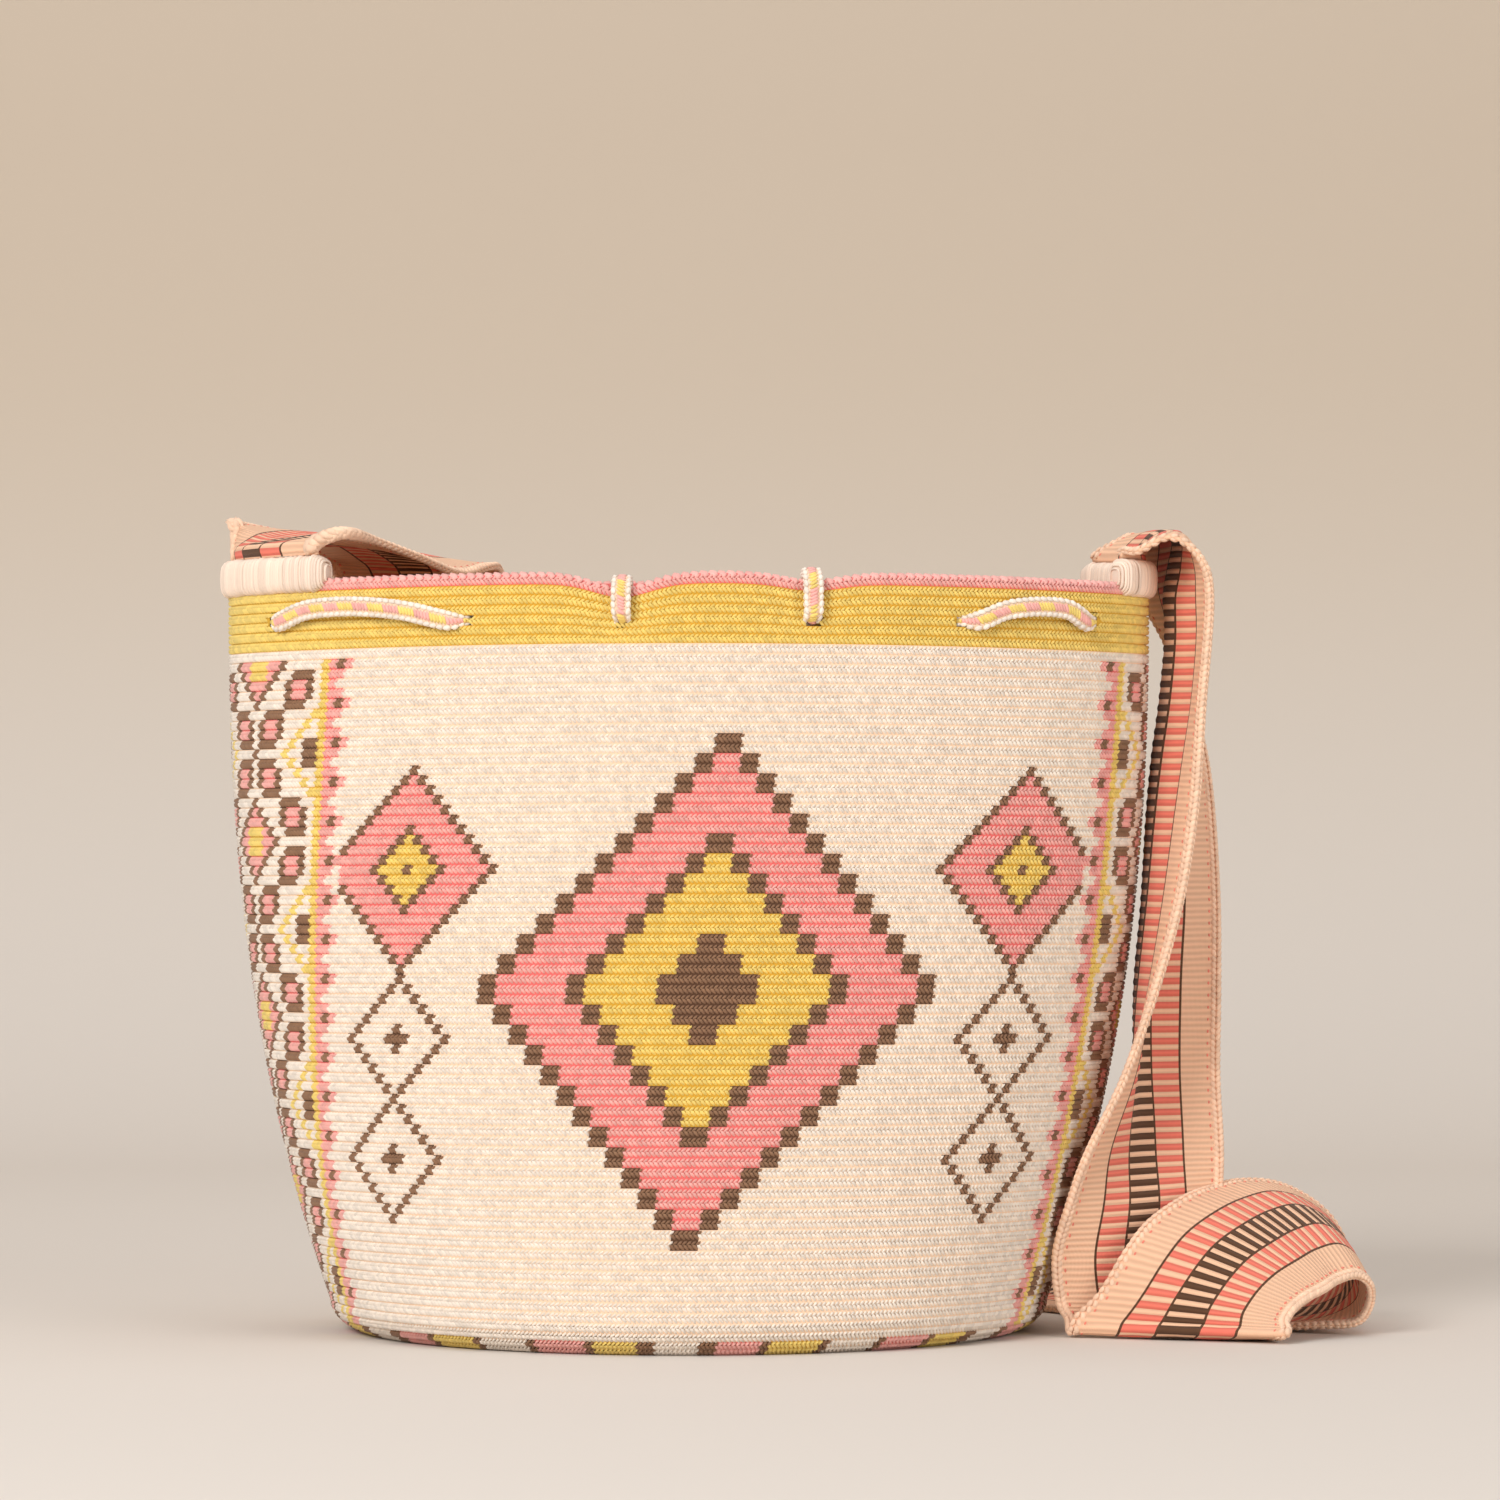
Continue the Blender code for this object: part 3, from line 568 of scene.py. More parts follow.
@dataclass(frozen=True)
class StitchShapes:
    """The few shapes of single stitches, of length, width and height 1.

    Attributes:
        tip: where the last ring before a tip lies, as a share of the half length.
    """

    tip: float = 0.5

    def leaf(self) -> bpy.types.Object:
        """One leg of a crochet stitch: a pointed leaf with a ridge, open beneath."""
        t = self.tip / 2
        points = [(-0.5, 0, -0.3), (0.5, 0, -0.3)]
        for x in (-t, t):
            points += [(x, -0.5, -0.5), (x, 0, 0.5), (x, 0.5, -0.5)]
        faces = [(0, 3, 2), (0, 4, 3), (2, 3, 6, 5), (3, 4, 7, 6), (1, 5, 6), (1, 6, 7)]
        faces = [tuple(reversed(f)) for f in faces]
        return self._hidden("leaf_stitch", points, faces)

    def grain(self, rings: int = 4, sides: int = 6) -> bpy.types.Object:
        """A closed grain of yarn for chains and braids."""
        points: list[Triple] = [(-0.5, 0, 0)]
        for k in range(rings):
            x = -0.5 + (k + 1) / (rings + 1)
            radius = math.sqrt(max(0.0, 0.25 - x * x)) * 1.02
            for i in range(sides):
                turn = 2 * math.pi * i / sides
                points.append((x, radius * math.cos(turn), radius * math.sin(turn)))
        points.append((0.5, 0, 0))
        faces: list[tuple[int, ...]] = []
        for i in range(sides):
            j = (i + 1) % sides
            faces.append((0, 1 + j, 1 + i))
            faces.append((len(points) - 1, 1 + (rings - 1) * sides + i, 1 + (rings - 1) * sides + j))
            for k in range(rings - 1):
                low, high = 1 + k * sides, 1 + (k + 1) * sides
                faces.append((low + i, low + j, high + j, high + i))
        return self._hidden("grain_stitch", points, faces)

    def loop(self, outline: np.ndarray, radius: float, sides: int = 5) -> bpy.types.Object:
        """One wrap of yarn round a closed outline in the YZ plane.

        Args:
            outline: points (across, up) of the yarn's middle.
            radius: the yarn's radius.
            sides: sides of the yarn's section.

        Returns:
            The hidden object.
        """
        count = len(outline)
        centre = outline.mean(axis=0)
        ahead = unit(np.roll(outline, -1, axis=0) - np.roll(outline, 1, axis=0))
        side = np.stack((ahead[:, 1], -ahead[:, 0]), axis=1)
        side *= np.sign(((outline - centre) * side).sum(axis=1, keepdims=True) + 1e-9)
        points = []
        for k in range(count):
            for i in range(sides):
                turn = 2 * math.pi * i / sides
                y, z = outline[k] + side[k] * radius * math.cos(turn)
                points.append((radius * 1.15 * math.sin(turn), y, z))
        faces = []
        for k in range(count):
            n = (k + 1) % count
            for i in range(sides):
                j = (i + 1) % sides
                faces.append((k * sides + i, n * sides + i, n * sides + j, k * sides + j))
        return self._hidden("wrap_stitch", points, faces)

    def _hidden(self, name: str, points: Sequence, faces: Sequence) -> bpy.types.Object:
        """A mesh object kept out of the picture, with its faces turned outwards."""
        stitch = add_mesh(name, np.array(points, dtype=float), faces)
        stitch.hide_render = True
        return stitch


# The bag's outline


@dataclass(frozen=True)
class BagOutline:
    """The bag's shape, the same as the CAD's: a round foot that widens to an oval mouth.

    Attributes:
        girth: length round the wall at every height.
        rim: height of the rim at the front and back.
        mouth: half width of the mouth.
        wall: thickness of the wall.
        foot: radius of the flat base.
        rounding: height of the rounding between base and wall.
        widening: how soon the wall widens.
        side_drop: how much lower the rim is at both ends.
        eyelet_drop: from the rim down to the eyelets' middles.
        tails: angles at which the cord's tails go over the rim.
        tail_dips: how much each tail pulls the rim down.
        tail_dent: how much the tails pull the wall in.
        dip_spread: degrees over which they do so.
        band: height of the stretch under the rim that the cord works on.
    """

    girth: float = 0.835
    rim: float = 0.288
    mouth: float = 0.1765
    wall: float = 0.0032
    foot: float = 0.120
    rounding: float = 0.012
    widening: float = 2.5
    side_drop: float = 0.0036
    eyelet_drop: float = 0.0175
    tails: tuple[float, float] = (262.0, 285.5)
    tail_dips: tuple[float, float] = (0.006, 0.003)
    tail_dent: float = 0.004
    dip_spread: float = 5.0
    band: float = 0.02625

    def half_width(self, z: np.ndarray) -> np.ndarray:
        """Half width of the wall at a height."""
        round_radius = self.girth / (2 * math.pi)
        share = np.clip(np.asarray(z, dtype=float) / self.rim, 0.0, 1.0)
        return round_radius + (self.mouth - round_radius) * (1 - (1 - share) ** self.widening)

    def half_depth(self, z: np.ndarray) -> np.ndarray:
        """Half depth of the ellipse whose length round is the girth."""
        a = self.half_width(z)
        low, high = np.zeros_like(a), a.copy()
        for _ in range(30):
            b = (low + high) / 2
            turn = math.pi * (3 * (a + b) - np.sqrt((3 * a + b) * (a + 3 * b)))
            low = np.where(turn < self.girth, b, low)
            high = np.where(turn < self.girth, high, b)
        return (low + high) / 2

    def near(self, angle: np.ndarray, centre: float) -> np.ndarray:
        """1 at a centre angle, falling to 0 around it."""
        apart = (np.asarray(angle) - centre + 180.0) % 360.0 - 180.0
        return np.exp(-((apart / self.dip_spread) ** 2))

    def rim_height(self, angle: np.ndarray) -> np.ndarray:
        """Height of the rim, with its sag at the ends and its dips under the tails."""
        side = self.side_drop * (1 + np.cos(2 * np.radians(angle))) / 2
        return self.rim - side - self.dips(angle)

    def dips(self, angle: np.ndarray) -> np.ndarray:
        """How far the tails pull the rim down."""
        return sum(d * self.near(angle, c) for d, c in zip(self.tail_dips, self.tails))

    def dent(self, angle: np.ndarray, z: np.ndarray) -> np.ndarray:
        """How far the tails pull the wall in."""
        rise = np.clip((z - (self.rim - 2 * self.band)) / (2 * self.band), 0.0, 1.0)
        return self.tail_dent * sum(self.near(angle, c) for c in self.tails) * rise * rise

    def outward(self, angle: np.ndarray, z: np.ndarray) -> np.ndarray:
        """The wall's outward direction, level with the floor."""
        turn = np.radians(angle)
        x, y = np.cos(turn) / self.half_width(z), np.sin(turn) / self.half_depth(z)
        return unit(np.stack((x, y, np.zeros_like(x + y)), axis=-1))

    def place(self, angle: np.ndarray, z: np.ndarray, off: np.ndarray | float = 0.0) -> np.ndarray:
        """Points off the wall's outer face, outwards or, below 0, inwards."""
        turn, z = np.radians(angle), np.asarray(z, dtype=float)
        x, y = self.half_width(z) * np.cos(turn), self.half_depth(z) * np.sin(turn)
        base = np.stack(np.broadcast_arrays(x, y, z), axis=-1)
        return base + self.outward(angle, z) * (off - self.dent(angle, z))[..., None]

    def angles(self, lengths: np.ndarray, z: float) -> np.ndarray:
        """Angles at the given lengths round the wall from its front middle, at a height."""
        fine = np.arange(-360.0, 361.0, 0.5)
        turn = np.radians(fine + 270)
        a, b = float(self.half_width(z)), float(self.half_depth(z))
        runs = run_lengths(np.stack((a * np.cos(turn), b * np.sin(turn)), axis=-1))
        return np.interp(lengths, runs - runs[len(runs) // 2], fine + 270)

    def arc_angles(self, centre: float, length: float, z: float, count: int) -> np.ndarray:
        """Angles of points spread evenly over a length of the wall round a centre angle."""
        fine = centre - 60 + 0.5 * np.arange(241)
        runs = run_lengths(self.place(fine, np.full(241, z)))
        wanted = runs[120] + length * (np.arange(count) / (count - 1) - 0.5)
        return np.interp(wanted, runs, fine)


OUTLINE = BagOutline()
SHAPES = StitchShapes()


# The crocheted pattern


@dataclass(frozen=True)
class Pattern:
    """Which yarn every stitch of the wall has, counted in cells of two strokes.

    Columns run round the bag from its back middle over its left end, front middle and right end.
    Rows run down from the rim.

    Attributes:
        cells: cells in a round.
        edging: rows of rose edging at the rim.
        band: rows of the mustard band.
        panel: cells from the front middle to a side panel's middle.
        border: cells from a panel's middle to its mustard line.
        period: rows after which a panel repeats.
        wall_rows: rows of the wall down to the foot's rounding.
        foot_rows: rows on the rounding.
    """

    cells: int = 246
    edging: int = 1
    band: int = 6
    panel: int = 57
    border: int = 10
    period: int = 18
    wall_rows: int = 74
    foot_rows: int = 5

    def yarn(self, column: int, row: int) -> Yarn:
        """The yarn of one cell.

        Args:
            column: cell counted round from the back middle.
            row: row counted down from the rim.

        Returns:
            The yarn.
        """
        if row < self.edging:
            return Yarn.ROSE
        if row < self.edging + self.band:
            return Yarn.MUSTARD
        row -= self.edging + self.band
        front = column - self.cells // 2
        if row > self.wall_rows - self.edging - self.band + 1:
            return self.foot(column)
        for middle in (-self.panel, self.panel):
            across = abs(front - middle)
            if across <= self.border + 3 and row >= 1:
                return self.side(across, row)
        if abs(front) < self.panel:
            return self.field(front, row)
        back = (front + self.cells) % self.cells - self.cells // 2
        return self.field(back, row)

    def side(self, across: int, row: int) -> Yarn:
        """A side panel: toothed border, mustard line, zigzag squares and diamonds on its middle."""
        if across > self.border:
            return self.teeth(across - self.border, (row - 1) % 4)
        if across == self.border:
            return Yarn.MUSTARD
        step = (row - 1) % self.period
        from_pinch = abs(step - self.period // 2)
        if from_pinch <= 4 and across == self.border - 5 + from_pinch:
            return Yarn.MUSTARD
        if from_pinch <= 1 and across >= self.border - 2:
            return Yarn.BROWN
        to_diamond = min(step, self.period - step)
        if across + to_diamond <= 4:
            return self.diamond(across, to_diamond)
        if from_pinch == 0 and across == 0:
            return Yarn.BROWN
        outer = to_diamond <= 4
        start = 5 if outer else 1
        depth = to_diamond - 1 if outer else to_diamond - 5
        return self.square(across - start, depth)

    @staticmethod
    def teeth(out: int, phase: int) -> Yarn:
        """The border's rose teeth, each fourth row with a brown dot."""
        if phase == 0 and out == 2:
            return Yarn.BROWN
        return Yarn.ROSE if out <= (3, 2, 1, 2)[phase] else Yarn.CREAM

    @staticmethod
    def diamond(across: int, away: int) -> Yarn:
        """A brown-edged rose diamond with a mustard middle."""
        if across + away == 4:
            return Yarn.BROWN
        return Yarn.MUSTARD if across <= 1 and away <= 1 else Yarn.ROSE

    @staticmethod
    def square(out: int, depth: int) -> Yarn:
        """A brown-edged rose square of four by four cells, sheared by its first and last row."""
        if not 0 <= out <= 3 or not 0 <= depth <= 3:
            return Yarn.CREAM
        if depth == 0:
            return Yarn.BROWN if out >= 1 else Yarn.CREAM
        if depth == 3:
            return Yarn.BROWN if out <= 2 else Yarn.CREAM
        return Yarn.ROSE if out in (1, 2) else Yarn.BROWN

    def field(self, across: int, row: int) -> Yarn:
        """Front and back: a large stepped diamond between pairs of smaller ones."""
        side = abs(across) - 35
        large = abs(across) // 2 + abs(row - 34) // 2
        if large <= 12:
            return self.rings(large, (2, 6, 7, 11, 12))
        small = abs(side) + abs(row - 22)
        if small <= 10:
            return self.rings(small, (0, 3, 4, 9, 10))
        for middle in (39, 51):
            if abs(side) + abs(row - middle) == 6:
                return Yarn.BROWN
            if abs(side) + abs(row - middle) <= 1:
                return Yarn.BROWN
        return Yarn.CREAM

    @staticmethod
    def rings(level: int, ends: tuple[int, int, int, int, int]) -> Yarn:
        """The yarn of a diamond's ring: brown heart, mustard, brown line, rose and brown edge."""
        for end, yarn in zip(ends, (Yarn.BROWN, Yarn.MUSTARD, Yarn.BROWN, Yarn.ROSE, Yarn.BROWN)):
            if level <= end:
                return yarn
        return Yarn.CREAM

    def foot(self, column: int) -> Yarn:
        """The last rows over the foot: mustard and rose fields of the base, edged in brown."""
        place = (column / self.cells * 12) % 1
        return self.base(place, 0)

    @staticmethod
    def base(place: float, ring: int) -> Yarn:
        """The flat base: stepped fields that narrow towards the middle, twelve round.

        Args:
            place: place in one of the twelve sectors, from 0 to 1.
            ring: round counted inwards from the edge.

        Returns:
            The yarn.
        """
        step = ring % 11
        half = 0.36 * (1 - step / 11)
        apart = abs(place - 0.5)
        if apart > half:
            return Yarn.CREAM
        if apart > half - 0.06:
            return Yarn.BROWN
        if apart < 0.02:
            return Yarn.BROWN
        return Yarn.ROSE if place < 0.5 else Yarn.MUSTARD

    def table(self) -> np.ndarray:
        """Yarn numbers of every row and column."""
        rows = range(self.wall_rows + self.foot_rows)
        return np.array([[self.yarn(c, r).value for c in range(self.cells)] for r in rows])


# The bag's body


@dataclass(frozen=True)
class CrochetedBody:
    """The bag's wall, foot and base, of crocheted strokes over a ground in darker copies of the same yarns,
    painted shade between the strokes.

    Attributes:
        outline: the bag's shape.
        pattern: the yarns' pattern.
        eyelets: angles of the eyelets round the bag.
        lean: cells by which the pattern moves back per row down.
        lead: cells by which the pattern's front middle lies to the right, at the rim.
        ground_depth: how far the ground lies below the strokes' crests.
        rib: how far each row's edges lie below its middle.
        tilt: degrees by which a row's strokes turn up or down.
        eyelet_half: half width and half height kept clear of strokes at an eyelet.
        legs: of both strokes of a cell, the place in the row, slant in degrees, length and width.
        stroke_height: how far a stroke stands proud.
        base_pitch: distance between the rounds of the base.
    """

    outline: BagOutline
    pattern: Pattern
    eyelets: tuple[float, ...]
    lean: float = 0.094
    lead: float = 4.5
    ground_depth: float = 0.0006
    rib: float = 0.0003
    tilt: float = 16.0
    eyelet_half: tuple[float, float] = (0.0030, 0.0021)
    legs: tuple[tuple[float, ...], ...] = ((0.25, 42.0, 1.5, 0.58), (-0.22, -48.0, 1.85, 0.72))
    stroke_height: float = 0.0011
    base_pitch: float = 0.00375

    def row_height(self, angle: np.ndarray, row: float) -> np.ndarray:
        """Height of a place in a row, counted down from the rim, at every angle."""
        shape = self.outline
        share = 1 - row / self.pattern.wall_rows
        dips = shape.dips(angle)
        level = shape.rounding + (shape.rim_height(angle) + dips - shape.rounding) * share
        return level - dips * max(0.0, 1 - row / (self.pattern.edging + self.pattern.band))

    def round_lengths(self, columns: np.ndarray, row: float) -> np.ndarray:
        """Lengths round the wall of places counted in cells, with the stitches' lean."""
        cell = self.outline.girth / self.pattern.cells
        below = row - self.pattern.edging - self.pattern.band
        return (columns - self.pattern.cells / 2 + self.lead - self.lean * below) * cell

    def wall_points(self, columns: np.ndarray, row: float, off: float) -> tuple[np.ndarray, np.ndarray]:
        """Points of one row on the wall, and their angles."""
        middle = self.outline.rim - row * (self.outline.rim - self.outline.rounding) / self.pattern.wall_rows
        angle = self.outline.angles(self.round_lengths(columns, row), middle)
        return self.outline.place(angle, self.row_height(angle, row), off), angle

    def foot_points(self, columns: np.ndarray, turn: float, off: float) -> tuple[np.ndarray, np.ndarray]:
        """Points on the rounding below the wall, and their outward directions.

        Args:
            columns: places counted in cells.
            turn: quarter turn's share, 1 at the wall and 0 at the base.
            off: outwards from the rounding.

        Returns:
            Points and directions.
        """
        shape = self.outline
        row = self.pattern.wall_rows + self.pattern.foot_rows * (1 - turn)
        angle = shape.angles(self.round_lengths(columns, row), shape.rounding)
        reach, rise = math.sin(turn * math.pi / 2), 1 - math.cos(turn * math.pi / 2)
        a = shape.foot + (float(shape.half_width(shape.rounding)) - shape.foot) * reach
        b = shape.foot + (float(shape.half_depth(shape.rounding)) - shape.foot) * reach
        flat = shape.outward(angle, np.full_like(angle, shape.rounding))
        out = unit(flat * reach - UP * (1 - rise))
        place = np.stack((a * np.cos(np.radians(angle)), b * np.sin(np.radians(angle)),
                          np.full_like(angle, shape.rounding * rise)), axis=-1)
        return place + out * off, out

    def strokes(self) -> tuple[Stitches, np.ndarray, np.ndarray]:
        """All strokes of wall and foot, with their yarns and their angles."""
        pattern, shape = self.pattern, self.outline
        table = pattern.table()
        stroke = shape.girth / pattern.cells / 2
        columns = (np.arange(2 * pattern.cells) + 0.5) / 2
        parts, yarns, angles = [], [], []
        for row in range(pattern.wall_rows + pattern.foot_rows):
            on_wall = row < pattern.wall_rows
            for up, slant, length, width in self.legs:
                place = row + 0.5 - up
                shift = columns + (0.25 if up > 0 else 0.0)
                if on_wall:
                    middle, angle = self.wall_points(shift, place, -self.rib * (2 * up) ** 2)
                    out = shape.outward(angle, middle[:, 2])
                else:
                    turn = 1 - (place - pattern.wall_rows) / pattern.foot_rows
                    middle, out = self.foot_points(shift, turn, -self.rib * (2 * up) ** 2)
                    angle = np.degrees(np.arctan2(middle[:, 1], middle[:, 0]))
                side = unit(np.roll(middle, -1, axis=0) - np.roll(middle, 1, axis=0))
                rise = unit(np.cross(out, side))
                facing = unit(slanted(out, rise, self.tilt if up > 0 else -self.tilt))
                along = slanted(side, rise, slant)
                size = np.array((stroke * length, stroke * width, self.stroke_height))
                parts.append(Stitches(middle, along, facing, np.tile(size, (len(middle), 1))))
                yarns.append(np.repeat(table[row], 2))
                angles.append(angle)
        return Stitches.joined(parts), np.concatenate(yarns), np.concatenate(angles)

    def clear_of_eyelets(self, places: np.ndarray) -> np.ndarray:
        """Which places lie outside every eyelet."""
        keep = np.ones(len(places), dtype=bool)
        z = self.outline.rim - self.outline.eyelet_drop
        for angle in self.eyelets:
            middle = self.outline.place(np.array(angle), np.array(z))
            out = self.outline.outward(np.array(angle), np.array(z))
            side = np.array((-out[1], out[0], 0.0))
            apart = places - middle
            near = np.abs(apart @ out) < 0.02
            across, up = (apart @ side) / self.eyelet_half[0], apart[:, 2] / self.eyelet_half[1]
            keep &= ~(near & (across**2 + up**2 < 1))
        return keep

    def base_strokes(self) -> tuple[Stitches, np.ndarray]:
        """Strokes in rounds on the flat base, with their yarns."""
        pitch = self.base_pitch
        rounds = int(self.outline.foot / pitch)
        cell = self.outline.girth / self.pattern.cells
        parts, yarns = [], []
        for ring in range(rounds):
            radius = self.outline.foot - (ring + 0.5) * pitch
            count = max(6, round(2 * math.pi * radius / cell))
            share = (np.arange(count) + 0.5) / count
            outer, side = around(2 * math.pi * share)
            places = [float((s * 12 + 0.02 * ring) % 1) for s in share]
            yarn = np.array([self.pattern.base(place, ring).value for place in places])
            for up, slant in ((0.25, 35.0), (-0.22, -35.0)):
                middle = outer * (radius + up * pitch) + UP * 0.0007
                along = slanted(side, outer, slant)
                size = np.array((cell * 1.25, cell * 0.62, self.stroke_height))
                down = np.tile(-UP, (count, 1))
                parts.append(Stitches(middle, along, down, np.tile(size, (count, 1))))
                yarns.append(yarn)
        return Stitches.joined(parts), np.concatenate(yarns)

    def edging(self) -> Stitches:
        """The chain on top of the rim and the row of strokes just inside it."""
        pattern, shape = self.pattern, self.outline
        cell = shape.girth / pattern.cells
        columns = np.arange(pattern.cells) + 0.25
        parts = []
        for inward, slant in ((0.0008, 24.0), (shape.wall - 0.0008, -24.0)):
            middle, angle = self.wall_points(columns, 0.0, -inward)
            middle = middle + UP * 0.0002
            side = unit(np.roll(middle, -1, axis=0) - np.roll(middle, 1, axis=0))
            out = shape.outward(angle, middle[:, 2])
            along = slanted(side, out, slant)
            facing = unit(UP + out * (0.5 if inward < shape.wall / 2 else -0.5))
            size = np.tile((cell * 1.25, 0.0021, 0.0018), (len(middle), 1))
            parts.append(Stitches(middle, along, facing, size))
        return Stitches.joined(parts)

    def ground(self) -> bpy.types.Object:
        """The closed shell under the strokes: outer face, rim, lining and base, in darker copies of all yarns
        as painted shade.
        """
        pattern, shape = self.pattern, self.outline
        columns = np.arange(pattern.cells, dtype=float)
        rings, rows = [], []
        for row in range(pattern.wall_rows + 1):
            rings.append(self.wall_points(columns, float(row), -self.ground_depth)[0])
            rows.append(row)
        for k in range(1, pattern.foot_rows + 1):
            rings.append(self.foot_points(columns, 1 - k / pattern.foot_rows, -self.ground_depth)[0])
            rows.append(pattern.wall_rows + k)
        outer = np.array(rings)
        inner = []
        for row in np.arange(0, pattern.wall_rows + 0.5, 0.5):
            depth = shape.wall - (0.0007 if row % 1 else 0.0)
            inner.append(self.wall_points(columns, float(row), -depth)[0])
        floor = inner[-1].copy()
        floor[:, :2] *= (shape.foot - shape.wall) / np.linalg.norm(floor[:, :2], axis=1, keepdims=True)
        floor[:, 2] = shape.wall
        inner = np.array([*inner, floor])
        rings = np.concatenate((outer[::-1], inner))
        quads = grid_faces(len(rings), pattern.cells, closed=True)
        table = pattern.table()
        names = []
        for i in range(len(rings) - 1):
            if i < len(outer) - 1:
                names.append(table[len(outer) - 2 - i])
            elif i == len(outer) - 1:
                names.append(table[0])
            else:
                names.append(table[min((i - len(outer)) // 2, pattern.wall_rows - 1)])
        count = len(rings) * pattern.cells
        points = np.vstack((rings.reshape(-1, 3), [(0, 0, self.ground_depth)], [(0, 0, shape.wall)]))
        faces = quads.reshape(-1, 4).tolist()
        yarns = np.concatenate(names).tolist()
        last = (len(rings) - 1) * pattern.cells
        for i in range(pattern.cells):
            j = (i + 1) % pattern.cells
            faces += [(count, j, i), (count + 1, last + i, last + j)]
            yarns += [Yarn.CREAM.value] * 2
        middles = np.array([points[list(f)].mean(axis=0) for f in faces])
        keep = self.clear_of_eyelets(middles)
        keep |= middles[:, 2] < shape.rim - 2 * shape.band
        kept = [f for f, k in zip(faces, keep) if k]
        body = add_mesh("crochet_ground", points, kept)
        # Darker copies of the yarns: painted shade in the grooves, on the rim and in the lining.
        for yarn in SHADED_GROUND:
            body.data.materials.append(SHADED_GROUND[yarn].material())
        slots = np.array([y for y, k in zip(yarns, keep) if k], dtype=np.int32)
        body.data.polygons.foreach_set("material_index", slots)
        return body

    def dress(self, strokes: Stitches, name: str, leaf: bpy.types.Object, yarn: Yarn) -> None:
        """Lay strokes of one yarn and finish them as a piece of the body."""
        finish_piece(strokes.lay(name, leaf, CROCHET[yarn]), "cream_crochet", "crocheted_bag")

    def build(self) -> None:
        """Make and finish every piece of the body."""
        leaf = SHAPES.leaf()
        strokes, yarns, angles = self.strokes()
        keep = self.clear_of_eyelets(strokes.places)
        sector = (np.floor((angles % 360) / 90)).astype(int)
        corners = ("back_right", "back_left", "front_left", "front_right")
        for quarter, corner in enumerate(corners):
            mask = keep & (yarns == Yarn.CREAM.value) & (sector == quarter)
            self.dress(strokes.where(mask), f"cream_strokes_{corner}", leaf, Yarn.CREAM)
        for yarn in (Yarn.MUSTARD, Yarn.ROSE, Yarn.BROWN):
            mask = keep & (yarns == yarn.value)
            self.dress(strokes.where(mask), f"{yarn.name.lower()}_strokes", leaf, yarn)
        base, base_yarns = self.base_strokes()
        for yarn in SHADED_GROUND:
            part = base.where(base_yarns == yarn.value)
            self.dress(part, f"base_{yarn.name.lower()}_strokes", leaf, yarn)
        self.dress(self.edging(), "rim_chain", leaf, Yarn.ROSE)
        finish_piece(self.ground(), "cream_crochet", "crocheted_bag")
        bpy.data.objects.remove(leaf)


# Shoulder strap


@dataclass(frozen=True)
class Station:
    """A place on the strap's way: its middle and the places of its two edges.

    Attributes:
        first: place of the edge that faces the viewer at the right.
        middle: place of the middle.
        last: place of the other edge.
        curled: the middle, moved as the lines halfway to the edges are where the band bows.
    """

    first: np.ndarray
    middle: np.ndarray
    last: np.ndarray
    curled: np.ndarray


